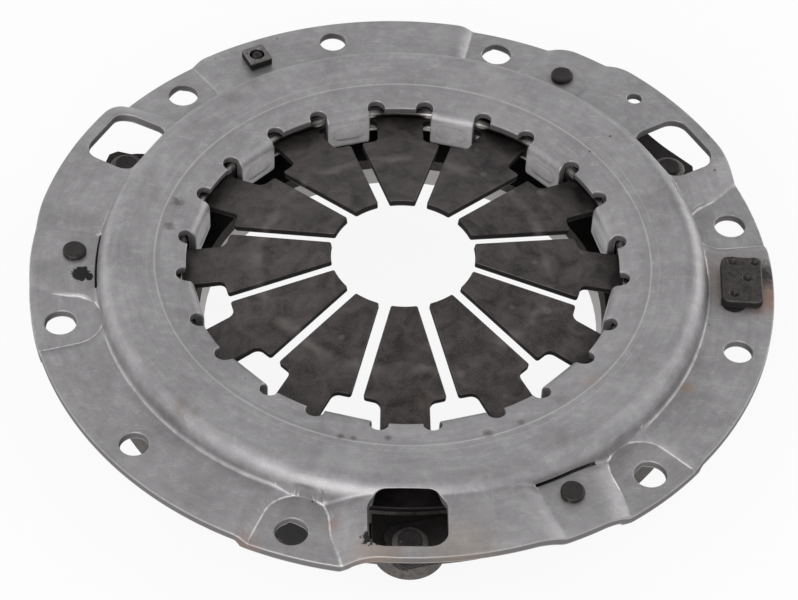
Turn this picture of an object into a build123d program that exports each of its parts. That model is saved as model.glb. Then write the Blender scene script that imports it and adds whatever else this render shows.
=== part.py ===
# Clutch pressure plate: a diaphragm spring clutch cover assembly for a small car, in millimetres.
# The axis of the crankshaft is Z. The origin lies on it, in the plane of the six bolt pads' undersides.
# The friction face looks down, and the fingers, which the release bearing pushes, point up.
from build123d import *
import math
import os

# Cover, pressed from one steel sheet
COVER_RADIUS = 107.0            # outside of the rim
SHEET = 2.8                     # sheet thickness
PAD_HEIGHT = 0.0                # underside of the bolt pads, which lie on the flywheel
DOWEL_HEIGHT = 1.9              # underside of the rim round the dowel holes
STRAP_SEAT_HEIGHT = 3.4         # underside of the rim where the drive straps are riveted
WINDOW_HEIGHT = 6.0             # underside of the rim round the lug windows
RIM_WIDTH = 19.4                # from the wall to the rim's edge
DOME_WIDTH = 25.5               # from the central opening's edge to the wall
EYE_HEIGHT = 9.3                # top of the sheet at that opening's edge
LAND_WIDTH = 8.8                # from that edge to the bend between inner land and crown
LAND_HEIGHT = 10.8              # top of the sheet at that bend
CROWN_SLOPE = 7.7               # degrees, from that bend up to the shoulder
SHOULDER = 6.0                  # outer radius of the shoulder
FOOT = 1.2                      # bend between wall and rim, along either, on the outside
UNDER_FOOT = 3.2                # the same bend on the inside
SECTORS = 3                     # the rim repeats three times
WINDOW_ANGLE = 30.0             # first lug window, degrees from +X

# Rim: each line across the rim is (angle at the wall, angle at the rim's edge), from the window's centre
CLIMB_TOP = (-9.5, -6.0)        # where the rim reaches the window's height
CLIMB_FOOT = (-14.5, -9.25)     # where that slope leaves the bolt pad
STEP_TOP = (20.5, 20.5)         # down to the strap seat
STEP_FOOT = (23.2, 23.2)
FALL_TOP = (34.0, 31.2)         # down from the strap seat to the next bolt pad
FALL_FOOT = (38.5, 34.0)
BOLT_BEFORE = -18.0             # bolt hole before the window
BOLT_AFTER = 42.0               # bolt hole after it

# Holes of the rim
BOLT_EDGE = 8.0                 # from the bolt holes' centres to the rim's edge
BOLT_HOLE = 9.0                 # clearance for M8
DOWEL_EDGE = 8.0
DOWEL_HOLE = 8.1                # for 8 mm dowel pins
DOWEL_ANGLE = 72.0              # from the window's centre
GAUGE_HOLE = 4.5                # one small tooling hole beside the first window
GAUGE_EDGE = 8.0
GAUGE_ANGLE = 13.8              # from the first window's centre
ARCH_RADIUS = 9.0               # round inner end of a bolt pad
ARCH_BITE = 0.5                 # how far it cuts into the dome's wall
ARCH_STRAIGHT = 5.2             # degrees from the bolt to the pad's side towards the dowel, at the edge
ARCH_FLARE = 9.2                # the same towards the window
PAD_WALL = 2.4                  # sheet left in the pad's drawn wall

# Lug windows
WINDOW_BITE = 2.0               # how far each one reaches into the dome
WINDOW_EDGE = 3.85              # rim left outside it
WINDOW_WIDTH = 21.4
WINDOW_CORNER = 5.0
WINDOW_SILL = 8.3               # underside of the wall left above the window

# Slit that frees the strap seat from the wall
SLIT_WIDTH = 1.7
SLIT_BITE = 0.2                 # into the wall
SLIT_LENGTH = 20.0
SLIT_ANGLE = 29.5               # from the window's centre

# Diaphragm spring
FINGERS = 12
FIRST_SLOT = 15.0               # degrees, a slot and a tab lie on this line
TIP_RADIUS = 21.0
TIP_HEIGHT = 11.5               # top of the finger tips
SPRING_PLAY = 0.6               # between its outer edge and the dome's wall
SPRING_THICKNESS = 2.2
CONE_ANGLE = 10.1               # degrees, in the free state
SLOT_WIDTH = 3.5
ROOT_LENGTH = 12.0              # root window of each slot
ROOT_MARGIN = 1.2               # from it to the fulcrum
ROOT_INNER_WIDTH = 13.4
ROOT_OUTER_WIDTH = 19.4
ROOT_CORNER = 2.4

# Fulcrum rings and the tabs that hold them
FULCRUM_MARGIN = 2.4            # from the central opening's edge out to the wires' circle
WIRE = 3.0
RING_PLAY = 0.03                # between wire and spring
TAB_WIDTH = 13.2
TAB_SHEET = 2.6
TAB_PLAY = 0.2                  # between tab and lower ring
TAB_BEND = 0.9                  # inner radius of its bends
HOOK_REACH = 2.4                # of the hook, outwards past the ring's centre line
NOTCH_RADIUS = 2.6              # relief notches beside each tab
NOTCH_MARGIN = 0.4              # from the central opening's edge out to their centres
NOTCH_ANGLE = 8.3               # from the tab's centre

# Pressure plate, cast iron
PLATE_LIFT = 5.0                # travel of the plate towards the cover
LIFT_PLAY = 0.66                # left between plate and hooks at the end of that travel
PLATE_THICKNESS = 8.0           # inner part, under the tabs' hooks
RIM_STEP = 3.0                  # outer part, under the straps, stands this much higher
BORE_MARGIN = 4.4               # the friction face's bore is smaller than the central opening
BORE_BAND = 5.3                 # height of the machined band in the bore
BORE_TAPER = 1.1                # its widening over that height
PLATE_OVERHANG = 1.9            # beyond the dome's wall
RIDGE_INSET = 2.7               # from the spring's edge in to the ridge that it presses on
RIDGE_WIDTH = 2.6
RIDGE_GAP = 0.3                 # below the spring
LUG_TURN = 0.6                  # degrees from the window's centre
LUG_RADIUS = 10.0
LUG_INSET = 3.7                 # from its rivet in to the centre of its round end
LUG_STEP = 3.1                  # its top above the plate's outer part
LUG_THICKNESS = 5.6

# Drive straps: three leaves in each pack, from a lug to the cover
STRAP_EDGE = 12.6               # from both rivets to the rim's edge
STRAP_ANGLE = 28.0              # cover rivet, from the window's centre
LEAVES = 3
LEAF = 0.7
STRAP_WIDTH = 13.6
STRAP_END = 5.9                 # past each rivet
STRAP_CORNER = 2.0
STRAP_FLAT = 5.5                # flat from each rivet towards the middle
SEAT_GAP = 0.03                 # between straps and lug

# Rivets
RIVET_SHANK = 5.0
RIVET_FIT = 0.05                # radial clearance in the holes
COVER_HEAD = 6.8                # formed head on the rim
COVER_HEAD_HEIGHT = 1.7
LUG_HEAD = 6.6
LUG_HEAD_HEIGHT = 1.2
BACK_HEAD = 8.6
BACK_HEAD_HEIGHT = 1.5
WASHER_DIAMETER = 9.8
WASHER = 0.8

# Balance weights, each riveted to the rim
WEIGHT_TURN = 86.8              # from a window's centre
WEIGHT_EDGE = 9.5               # from its rivet to the rim's edge
WEIGHT_LENGTH = 17.5
WEIGHT_WIDTH = 11.7
WEIGHT_THICKNESS = 3.0
WEIGHT_CORNER = 2.5
NUT_SIZE = 7.2
NUT_HEIGHT = 3.4
WEIGHT_RIVET = 4.0
WEIGHT_HEAD = 4.8
WEIGHT_HEAD_HEIGHT = 0.5

# Worked out from the sizes above
SLOPE = math.tan(math.radians(CROWN_SLOPE))
CONE = math.tan(math.radians(CONE_ANGLE))
CONE_COS = math.cos(math.radians(CONE_ANGLE))
WALL_RADIUS = COVER_RADIUS - RIM_WIDTH
WALL_INNER = WALL_RADIUS - SHEET
EYE_RADIUS = WALL_RADIUS - DOME_WIDTH
LAND_RADIUS = EYE_RADIUS + LAND_WIDTH
SPRING_RADIUS = WALL_INNER - SPRING_PLAY
FULCRUM_RADIUS = EYE_RADIUS + FULCRUM_MARGIN
ROOT_OUTER = FULCRUM_RADIUS - ROOT_MARGIN
ROOT_INNER = ROOT_OUTER - ROOT_LENGTH
STRAP_RADIUS = COVER_RADIUS - STRAP_EDGE
FORM_FLOOR = PAD_HEIGHT - 2 * SHEET    # below the whole cover
FAR = COVER_RADIUS * 1.25       # outside the whole part
HIGH = LAND_HEIGHT * 3          # above the whole part


def spring_top(radius):
    """Height of the spring's upper face."""
    return TIP_HEIGHT - (radius - TIP_RADIUS) * CONE


def spring_bottom(radius):
    return spring_top(radius) - SPRING_THICKNESS / CONE_COS


UPPER_RING_HEIGHT = spring_top(FULCRUM_RADIUS) + (WIRE / 2 + RING_PLAY) / CONE_COS
LOWER_RING_HEIGHT = spring_bottom(FULCRUM_RADIUS) - (WIRE / 2 + RING_PLAY) / CONE_COS
HOOK_TOP = LOWER_RING_HEIGHT - WIRE / 2 - TAB_PLAY
HOOK_BOTTOM = HOOK_TOP - TAB_SHEET
RIDGE_RADIUS = SPRING_RADIUS - RIDGE_INSET
RIDGE_TOP = spring_bottom(RIDGE_RADIUS + RIDGE_WIDTH / 2) - RIDGE_GAP
PLATE_TOP = HOOK_BOTTOM - PLATE_LIFT - LIFT_PLAY
RIM_TOP = PLATE_TOP + RIM_STEP
LUG_TOP = RIM_TOP + LUG_STEP
FACE_HEIGHT = PLATE_TOP - PLATE_THICKNESS
STRAP_DROP = STRAP_SEAT_HEIGHT - (LUG_TOP + SEAT_GAP + LEAVES * LEAF)


def polar(radius, angle):
    """Plan point at a distance from the axis and an angle in degrees."""
    turn = math.radians(angle)
    return (radius * math.cos(turn), radius * math.sin(turn))


def window_angles():
    return [WINDOW_ANGLE + 360.0 / SECTORS * n for n in range(SECTORS)]


def revolved(points):
    """Full turn about Z of an outline given as (radius, height)."""
    return revolve(Plane.XZ * make_face(Polyline(*points, close=True)), Axis.Z)


def post(radius, angle, diameter, low, high):
    """Round bar along Z between two heights."""
    x, y = polar(radius, angle)
    return Pos(x, y, (low + high) / 2) * Cylinder(diameter / 2, high - low)


# Cover: a top form less a bottom form, as punch and die leave the sheet between them

def crown_line(radius, drop):
    return LAND_HEIGHT + (radius - LAND_RADIUS) * SLOPE - drop / math.cos(math.radians(CROWN_SLOPE))


def dome_form(wall, shoulder, drop, floor):
    """Solid below the dome's upper face, or below its lower face when drop is the sheet."""
    inner = EYE_RADIUS - LAND_WIDTH
    land_slope = (LAND_HEIGHT - EYE_HEIGHT) / (LAND_RADIUS - EYE_RADIUS)
    land_drop = drop / math.cos(math.atan(land_slope))
    inner_height = EYE_HEIGHT + (inner - EYE_RADIUS) * land_slope - land_drop
    outline = [(inner, floor), (inner, inner_height), (LAND_RADIUS, LAND_HEIGHT - land_drop),
               (wall, crown_line(wall, drop)), (wall, floor)]
    face = make_face(Polyline(*outline, close=True))
    corner = face.vertices().sort_by(Axis.Y)[-1]
    return revolve(Plane.XZ * fillet(corner, shoulder), Axis.Z)


def rim_outline(height, wall, bend, floor):
    """Section of the rim's form: wall, bend at its foot and flat, closed at the floor."""
    root = wall - 2 * SHEET
    outline = [(FAR, height), (FAR, floor), (root, floor), (root, height + bend),
               (wall, height + bend), (wall + bend, height)]
    return make_face(Polyline(*outline, close=True))


def rim_line(line):
    """Point at the wall and direction outwards of a straight line across the rim."""
    foot = Vector(*polar(WALL_RADIUS, line[0]), 0)
    edge = Vector(*polar(COVER_RADIUS, line[1]), 0)
    return foot, (edge - foot).normalized()


def plan_wedge(start, end, low, high):
    """Upright prism between two lines across the rim."""
    inward = 3 * SHEET
    outward = FAR - WALL_RADIUS
    foot, across = rim_line(start)
    end_foot, end_across = rim_line(end)
    corners = [foot - across * inward, foot + across * outward,
               end_foot + end_across * outward, end_foot - end_across * inward]
    return Pos(0, 0, low) * extrude(make_face(Polyline(*corners, close=True)), high - low)


def level_form(start, end, height, wall, bend, floor):
    """Part of the form where the rim is level."""
    ring = revolve(Plane.XZ * rim_outline(height, wall, bend, floor), Axis.Z)
    return ring & plan_wedge(start, end, floor - SHEET, HIGH)


def slope_form(start, start_height, end, end_height, floor):
    """Part of the form between two levels, lofted between two upright sections across the rim."""
    root = WALL_RADIUS - 3 * SHEET
    sections = []
    for line, height in ((start, start_height), (end, end_height)):
        foot, across = rim_line(line)
        start_point = foot - across * WALL_RADIUS
        plane = Plane(origin=start_point, x_dir=across, z_dir=across.cross(Vector(0, 0, 1)))
        outline = [(root, floor), (FAR, floor), (FAR, height), (root, height)]
        sections.append(plane * make_face(Polyline(*outline, close=True)))
    return loft(sections, ruled=True)


def rim_form(thickness, wall, bend, floor):
    """All levels and slopes of the rim, three times round."""
    before = (BOLT_BEFORE, BOLT_BEFORE)
    after = (BOLT_AFTER, BOLT_AFTER)
    sector = 360.0 / SECTORS
    next_before = (BOLT_BEFORE + sector, BOLT_BEFORE + sector)
    pad = PAD_HEIGHT + thickness
    dowel = DOWEL_HEIGHT + thickness
    seat = STRAP_SEAT_HEIGHT + thickness
    window = WINDOW_HEIGHT + thickness
    shape = (wall, bend, floor)
    pieces = [
        level_form(before, CLIMB_FOOT, pad, *shape),
        slope_form(CLIMB_FOOT, pad, CLIMB_TOP, window, floor),
        level_form(CLIMB_TOP, STEP_TOP, window, *shape),
        slope_form(STEP_TOP, window, STEP_FOOT, seat, floor),
        level_form(STEP_FOOT, FALL_TOP, seat, *shape),
        slope_form(FALL_TOP, seat, FALL_FOOT, pad, floor),
        level_form(FALL_FOOT, after, pad, *shape),
        level_form(after, next_before, dowel, *shape),
    ]
    one = Part() + pieces
    return Part() + [Rot(0, 0, angle) * one for angle in window_angles()]


def arch_outline(side, grow):
    """Plan of a bolt pad: round end towards the wall, open at the edge. Side is 1 if it flares upwards."""
    low = -ARCH_STRAIGHT if side > 0 else -ARCH_FLARE
    high = ARCH_FLARE if side > 0 else ARCH_STRAIGHT
    reach = FAR - RIM_WIDTH / 4
    x1, y1 = polar(reach, low)
    x2, y2 = polar(reach, high)
    chord = Line((x1, y1 - grow), (x2, y2 + grow))
    centre = WALL_RADIUS - ARCH_BITE + ARCH_RADIUS
    round_end = CenterArc((centre, 0), ARCH_RADIUS + grow, 0, 360)
    return make_hull([chord, round_end])


def arches(low, grow):
    """Prisms over all six bolt pads."""
    result = []
    for angle in window_angles():
        for bolt, side in ((BOLT_BEFORE, 1), (BOLT_AFTER, -1)):
            prism = extrude(arch_outline(side, grow), HIGH - low)
            result.append(Rot(0, 0, angle + bolt) * Pos(0, 0, low) * prism)
    return result


def pressed_sheet():
    """Dome, rim and bolt pads, before any hole."""
    top = dome_form(WALL_RADIUS, SHOULDER, 0.0, FORM_FLOOR)
    top += rim_form(SHEET, WALL_RADIUS, FOOT, FORM_FLOOR)
    top &= Pos(0, 0, FORM_FLOOR + HIGH / 2) * Cylinder(COVER_RADIUS, HIGH)
    top -= arches(PAD_HEIGHT + SHEET, 0.0)
    low = FORM_FLOOR - SHEET
    bottom = dome_form(WALL_INNER, SHOULDER - SHEET, SHEET, low)
    bottom += rim_form(0.0, WALL_INNER, UNDER_FOOT, low)
    bottom -= arches(PAD_HEIGHT, PAD_WALL)
    return top - bottom


def lug_window():
    """Cutter of one lug window on the +X side."""
    inner = WALL_RADIUS - WINDOW_BITE
    outer = COVER_RADIUS - WINDOW_EDGE
    outline = RectangleRounded(outer - inner, WINDOW_WIDTH, WINDOW_CORNER)
    middle = (inner + outer) / 2
    upright = Pos(middle, 0, FORM_FLOOR) * extrude(outline, HIGH)
    inside = Pos(middle - SHEET, 0, FORM_FLOOR) * extrude(outline, WINDOW_SILL - FORM_FLOOR)
    return upright + inside


def tab():
    """One tab on the +X side: down through the spring's root window and out under the lower ring."""
    ring_inside = FULCRUM_RADIUS - WIRE / 2
    outer_face = math.sqrt(ring_inside ** 2 - (TAB_WIDTH / 2) ** 2) - TAB_PLAY
    inner_face = outer_face - TAB_SHEET
    land_slope = (LAND_HEIGHT - EYE_HEIGHT) / (LAND_RADIUS - EYE_RADIUS)
    root = FULCRUM_RADIUS + WIRE / 2
    root_top = EYE_HEIGHT + (root - EYE_RADIUS) * land_slope
    inner_top = EYE_HEIGHT + (inner_face - EYE_RADIUS) * land_slope
    under = TAB_SHEET / math.cos(math.atan(land_slope))
    hook_end = FULCRUM_RADIUS + HOOK_REACH
    corners = [
        (root, root_top), (inner_face, inner_top), (inner_face, HOOK_BOTTOM),
        (hook_end, HOOK_BOTTOM), (hook_end, HOOK_TOP), (outer_face, HOOK_TOP),
        (outer_face, inner_top - under + (outer_face - inner_face) * land_slope), (root, root_top - under),
    ]
    face = make_face(Polyline(*corners, close=True))

    def at(point):
        return face.vertices().sort_by_distance((point[0], point[1], 0))[0]

    face = fillet([at(corners[1]), at(corners[2])], TAB_BEND + TAB_SHEET)
    face = fillet([at(corners[5]), at(corners[6])], TAB_BEND)
    return extrude(Plane.XZ * face, TAB_WIDTH / 2, both=True)


def cover():
    body = pressed_sheet()
    body -= Pos(0, 0, HIGH / 2) * Cylinder(EYE_RADIUS, 2 * HIGH)
    slots = [FIRST_SLOT + 360.0 / FINGERS * n for n in range(FINGERS)]
    for angle in slots:
        for side in (-NOTCH_ANGLE, NOTCH_ANGLE):
            body -= post(EYE_RADIUS + NOTCH_MARGIN, angle + side, 2 * NOTCH_RADIUS, 0, HIGH)
    body += [Rot(0, 0, angle) * tab() for angle in slots]
    for angle in window_angles():
        body -= Rot(0, 0, angle) * lug_window()
        slit_top = STRAP_SEAT_HEIGHT + SHEET + FOOT
        slit = Box(SLIT_WIDTH, SLIT_LENGTH, slit_top - FORM_FLOOR)
        slit_place = Pos(WALL_RADIUS - SLIT_BITE + SLIT_WIDTH / 2, 0, (slit_top + FORM_FLOOR) / 2)
        body -= Rot(0, 0, angle + SLIT_ANGLE) * slit_place * slit
        for bolt in (BOLT_BEFORE, BOLT_AFTER):
            body -= post(COVER_RADIUS - BOLT_EDGE, angle + bolt, BOLT_HOLE, FORM_FLOOR, HIGH)
        dowel_radius = COVER_RADIUS - DOWEL_EDGE
        body -= post(dowel_radius, angle + DOWEL_ANGLE, DOWEL_HOLE, FORM_FLOOR, HIGH)
        hole = RIVET_SHANK + 2 * RIVET_FIT
        body -= post(STRAP_RADIUS, angle + STRAP_ANGLE, hole, FORM_FLOOR, HIGH)
    for angle in weight_angles():
        body -= post(COVER_RADIUS - WEIGHT_EDGE, angle, WEIGHT_RIVET + 2 * RIVET_FIT, FORM_FLOOR, HIGH)
    body -= post(COVER_RADIUS - GAUGE_EDGE, WINDOW_ANGLE + GAUGE_ANGLE, GAUGE_HOLE, FORM_FLOOR, HIGH)
    return body


# Diaphragm spring and its fulcrum rings

def diaphragm_spring():
    disc = revolved([
        (TIP_RADIUS, spring_top(TIP_RADIUS)), (SPRING_RADIUS, spring_top(SPRING_RADIUS)),
        (SPRING_RADIUS, spring_bottom(SPRING_RADIUS)), (TIP_RADIUS, spring_bottom(TIP_RADIUS)),
    ])
    reach = ROOT_INNER + ROOT_CORNER
    slot = Pos(reach / 2, 0) * Rectangle(reach, SLOT_WIDTH)
    corners = [
        (ROOT_INNER, ROOT_INNER_WIDTH / 2), (ROOT_OUTER, ROOT_OUTER_WIDTH / 2),
        (ROOT_OUTER, -ROOT_OUTER_WIDTH / 2), (ROOT_INNER, -ROOT_INNER_WIDTH / 2),
    ]
    root = make_face(Polyline(*corners, close=True))
    root = fillet(root.vertices(), ROOT_CORNER)
    cut = Pos(0, 0, FORM_FLOOR) * extrude(slot + root, HIGH)
    return disc - [Rot(0, 0, FIRST_SLOT + 360.0 / FINGERS * n) * cut for n in range(FINGERS)]


def fulcrum_ring(height):
    return Pos(0, 0, height) * Torus(FULCRUM_RADIUS, WIRE / 2)


# Pressure plate

def pressure_plate():
    ridge_in = RIDGE_RADIUS - RIDGE_WIDTH / 2
    ridge_out = RIDGE_RADIUS + RIDGE_WIDTH / 2
    band = FACE_HEIGHT + BORE_BAND
    bore = EYE_RADIUS - BORE_MARGIN
    throat = bore + BORE_TAPER
    edge = WALL_RADIUS + PLATE_OVERHANG
    ring = revolved([
        (bore, FACE_HEIGHT), (throat, band), (throat + BORE_TAPER, PLATE_TOP),
        (ridge_in - RIDGE_WIDTH, PLATE_TOP), (ridge_in, RIDGE_TOP), (ridge_out, RIDGE_TOP),
        (ridge_out + RIDGE_WIDTH / 2, RIM_TOP), (edge, RIM_TOP), (edge, FACE_HEIGHT),
    ])
    centre = STRAP_RADIUS - LUG_INSET
    outline = Pos(centre, 0) * Circle(LUG_RADIUS)
    root = centre - ridge_out
    outline += Pos(centre - root / 2, 0) * Rectangle(root, 2 * LUG_RADIUS)
    lug = Pos(0, 0, LUG_TOP - LUG_THICKNESS) * extrude(outline, LUG_THICKNESS)
    lug -= post(STRAP_RADIUS, 0, RIVET_SHANK + 2 * RIVET_FIT, FACE_HEIGHT, HIGH)
    return ring + [Rot(0, 0, angle + LUG_TURN) * lug for angle in window_angles()]


# Drive straps

def strap_line():
    """Chord from the lug rivet to the cover rivet: its start, direction in degrees and length."""
    start = Vector(*polar(STRAP_RADIUS, LUG_TURN), 0)
    end = Vector(*polar(STRAP_RADIUS, STRAP_ANGLE), 0)
    chord = end - start
    return start, math.degrees(math.atan2(chord.Y, chord.X)), chord.length


def strap_leaf(number):
    """One leaf along +X from the lug rivet; number 0 lies on the lug."""
    length = strap_line()[2]
    low = LUG_TOP + SEAT_GAP + LEAF * number
    high = low + STRAP_DROP
    line = [(-STRAP_END, low), (STRAP_FLAT, low), (length - STRAP_FLAT, high), (length + STRAP_END, high)]
    back = [(x, z + LEAF) for x, z in reversed(line)]
    leaf = extrude(Plane.XZ * make_face(Polyline(*line, *back, close=True)), STRAP_WIDTH / 2, both=True)
    outline = Pos(length / 2, 0) * Rectangle(length + 2 * STRAP_END, STRAP_WIDTH)
    outline = chamfer(outline.vertices(), STRAP_CORNER)
    leaf &= Pos(0, 0, FACE_HEIGHT) * extrude(outline, HIGH)
    for x in (0, length):
        leaf -= Pos(x, 0, 0) * Cylinder(RIVET_SHANK / 2 + RIVET_FIT, 2 * HIGH)
    return leaf


def placed_leaf(number, angle):
    start, turn, _ = strap_line()
    return Rot(0, 0, angle) * Pos(start.X, start.Y, 0) * Rot(0, 0, turn) * strap_leaf(number)


# Rivets and washers

def rivet(radius, angle, shank, low, high, head, head_height, back, back_height):
    """Shank between two seats, with a head on each."""
    body = post(radius, angle, shank, low - back_height, high + head_height)
    body += post(radius, angle, head, high, high + head_height)
    body += post(radius, angle, back, low - back_height, low)
    return body


def cover_rivet(angle):
    low = STRAP_SEAT_HEIGHT - LEAVES * LEAF
    high = STRAP_SEAT_HEIGHT + SHEET
    return rivet(STRAP_RADIUS, angle + STRAP_ANGLE, RIVET_SHANK, low, high,
                 COVER_HEAD, COVER_HEAD_HEIGHT, BACK_HEAD, BACK_HEAD_HEIGHT)


def washer_seat():
    return LUG_TOP + 2 * SEAT_GAP + LEAVES * LEAF


def lug_rivet(angle):
    high = washer_seat() + WASHER
    return rivet(STRAP_RADIUS, angle + LUG_TURN, RIVET_SHANK, LUG_TOP - LUG_THICKNESS, high,
                 LUG_HEAD, LUG_HEAD_HEIGHT, BACK_HEAD, BACK_HEAD_HEIGHT)


def lug_washer(angle):
    low = washer_seat()
    disc = post(STRAP_RADIUS, angle + LUG_TURN, WASHER_DIAMETER, low, low + WASHER)
    hole = RIVET_SHANK + 2 * RIVET_FIT
    return disc - post(STRAP_RADIUS, angle + LUG_TURN, hole, low - WASHER, low + 2 * WASHER)


# Balance weights

def weight_angles():
    """Large weight near the first bolt hole, small one a sector further."""
    sector = 360.0 / SECTORS
    return [WINDOW_ANGLE - sector + WEIGHT_TURN, WINDOW_ANGLE + WEIGHT_TURN]


def weight(angle, outline, height):
    seat = DOWEL_HEIGHT + SHEET
    radius = COVER_RADIUS - WEIGHT_EDGE
    body = Pos(radius, 0, seat) * extrude(outline, height)
    body -= post(radius, 0, WEIGHT_RIVET + 2 * RIVET_FIT, FORM_FLOOR, HIGH)
    return Rot(0, 0, angle) * body


def weight_rivet(angle, height):
    return rivet(COVER_RADIUS - WEIGHT_EDGE, angle, WEIGHT_RIVET, DOWEL_HEIGHT, DOWEL_HEIGHT + SHEET + height,
                 WEIGHT_HEAD, WEIGHT_HEAD_HEIGHT, BACK_HEAD, WEIGHT_HEAD_HEIGHT)


def all_parts():
    large, small = weight_angles()
    plate = RectangleRounded(WEIGHT_WIDTH, WEIGHT_LENGTH, WEIGHT_CORNER)
    nodes = {
        "cover": cover(),
        "diaphragm_spring": diaphragm_spring(),
        "fulcrum_ring_upper": fulcrum_ring(UPPER_RING_HEIGHT),
        "fulcrum_ring_lower": fulcrum_ring(LOWER_RING_HEIGHT),
        "pressure_plate": pressure_plate(),
        "balance_weight_large": weight(large, plate, WEIGHT_THICKNESS),
        "balance_weight_small": weight(small, Rectangle(NUT_SIZE, NUT_SIZE), NUT_HEIGHT),
        "balance_rivet_large": weight_rivet(large, WEIGHT_THICKNESS),
        "balance_rivet_small": weight_rivet(small, NUT_HEIGHT),
    }
    for n, angle in enumerate(window_angles(), start=1):
        nodes[f"cover_rivet_{n}"] = cover_rivet(angle)
        nodes[f"lug_rivet_{n}"] = lug_rivet(angle)
        nodes[f"lug_washer_{n}"] = lug_washer(angle)
        for leaf in range(LEAVES):
            nodes[f"strap_{n}_leaf_{leaf + 1}"] = placed_leaf(leaf, angle)
    return nodes


os.makedirs("parts", exist_ok=True)
for name, solid in all_parts().items():
    export_step(solid, f"parts/{name}.step")
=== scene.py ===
# Clutch pressure plate: its looks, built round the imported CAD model, in metres.
# Millimetre sizes are turned to metres with mm, and the axis of the clutch is Z.
import math

import bpy
import numpy as np
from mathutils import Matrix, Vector
from mathutils.geometry import delaunay_2d_cdt


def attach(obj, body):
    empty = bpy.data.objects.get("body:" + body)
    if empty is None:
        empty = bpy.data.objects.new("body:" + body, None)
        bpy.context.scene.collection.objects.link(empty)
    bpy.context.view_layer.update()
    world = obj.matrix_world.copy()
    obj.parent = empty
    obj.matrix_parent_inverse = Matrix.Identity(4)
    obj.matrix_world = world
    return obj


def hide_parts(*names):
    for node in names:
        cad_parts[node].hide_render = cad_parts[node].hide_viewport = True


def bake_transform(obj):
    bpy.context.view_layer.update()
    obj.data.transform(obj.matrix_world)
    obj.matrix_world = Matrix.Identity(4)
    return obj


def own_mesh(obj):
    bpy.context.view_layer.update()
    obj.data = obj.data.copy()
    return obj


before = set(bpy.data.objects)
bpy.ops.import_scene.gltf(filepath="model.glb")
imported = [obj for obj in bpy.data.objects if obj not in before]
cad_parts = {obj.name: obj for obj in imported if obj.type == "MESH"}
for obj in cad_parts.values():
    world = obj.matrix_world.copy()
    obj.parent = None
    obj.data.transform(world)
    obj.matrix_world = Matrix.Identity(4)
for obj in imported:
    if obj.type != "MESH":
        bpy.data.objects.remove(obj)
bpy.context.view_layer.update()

mm = 0.001

# Camera: a long lens looks down at the plate from the front, a little rolled.
lens = bpy.data.cameras.new("long_lens")
lens.sensor_width = 36.0
lens.lens = 121.72
lens.clip_start = 0.05
lens.clip_end = 20.0


def added(name, data):
    """Object with the given data, put in the scene."""
    made = bpy.data.objects.new(name, data)
    bpy.context.scene.collection.objects.link(made)
    return made


camera = added("camera", lens)
camera.location = (-0.02391, -0.53205, 0.57086)
camera.rotation_euler = [math.radians(turn) for turn in (42.5472, -1.6802, -0.6733)]
bpy.context.scene.camera = camera


def colour(code):
    """Linear RGBA of an sRGB hex value."""
    parts = [int(code[i:i + 2], 16) / 255 for i in (0, 2, 4)]
    return tuple([p / 12.92 if p <= 0.04045 else ((p + 0.055) / 1.055) ** 2.4 for p in parts] + [1.0])


def feed(made, inputs):
    """Sets a node's inputs: a value as it is, a socket or a node's first output as a link."""
    for socket, source in inputs.items():
        if isinstance(source, bpy.types.Node):
            source = source.outputs[0]
        if isinstance(source, bpy.types.NodeSocket):
            made.id_data.links.new(source, made.inputs[socket])
        else:
            made.inputs[socket].default_value = source


def node(tree, kind, inputs=None, **settings):
    """Adds a node with its settings and inputs."""
    made = tree.nodes.new(kind)
    for name, value in settings.items():
        setattr(made, name, value)
    feed(made, inputs or {})
    return made


# Studio: a white paper sweep that the plate lies on. The camera sees it white,
# and only the soft shadow near the plate darkens it.
FLOOR, FLOOR_REACH = -0.0181, 4
paper = bpy.data.materials.new("white_paper")
paper.use_nodes = True
tree = paper.node_tree
tree.nodes.clear()
matt = node(tree, "ShaderNodeBsdfDiffuse", {"Color": colour("e8e8e8")})
seen = node(tree, "ShaderNodeEmission", {"Color": colour("fcfcfc"), "Strength": 1.035})
rays = node(tree, "ShaderNodeLightPath")
share = node(tree, "ShaderNodeMath", {0: rays.outputs["Is Camera Ray"], 1: 0.9}, operation="MULTIPLY")
mirrored = node(tree, "ShaderNodeMath", {0: share, 1: rays.outputs["Is Glossy Ray"]}, operation="MAXIMUM")
mixed = node(tree, "ShaderNodeMixShader", {0: mirrored, 1: matt, 2: seen})
node(tree, "ShaderNodeOutputMaterial", {"Surface": mixed})
corners = [(x * FLOOR_REACH, y * FLOOR_REACH, FLOOR) for x, y in ((-1, -1), (1, -1), (1, 1), (-1, 1))]
sheet = bpy.data.meshes.new("floor")
sheet.from_pydata(corners, [], [(0, 1, 2, 3)])
sheet.materials.append(paper)
floor = added("floor", sheet)

world = bpy.data.worlds.new("studio")
world.use_nodes = True
world.node_tree.nodes.clear()
tree = world.node_tree
spot = node(tree, "ShaderNodeTexCoord").outputs["Generated"]
aim = node(tree, "ShaderNodeSeparateXYZ", {0: spot}).outputs["Z"]
glow = node(tree, "ShaderNodeMapRange", {0: aim, 1: 0.0, 2: 0.7, 3: 0.95, 4: 0.36})
air = node(tree, "ShaderNodeBackground", {"Strength": glow, "Color": colour("f4f5f7")})
node(tree, "ShaderNodeOutputWorld", {"Surface": air})
bpy.context.scene.world = world
bpy.context.scene.view_settings.view_transform = "Standard"

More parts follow.
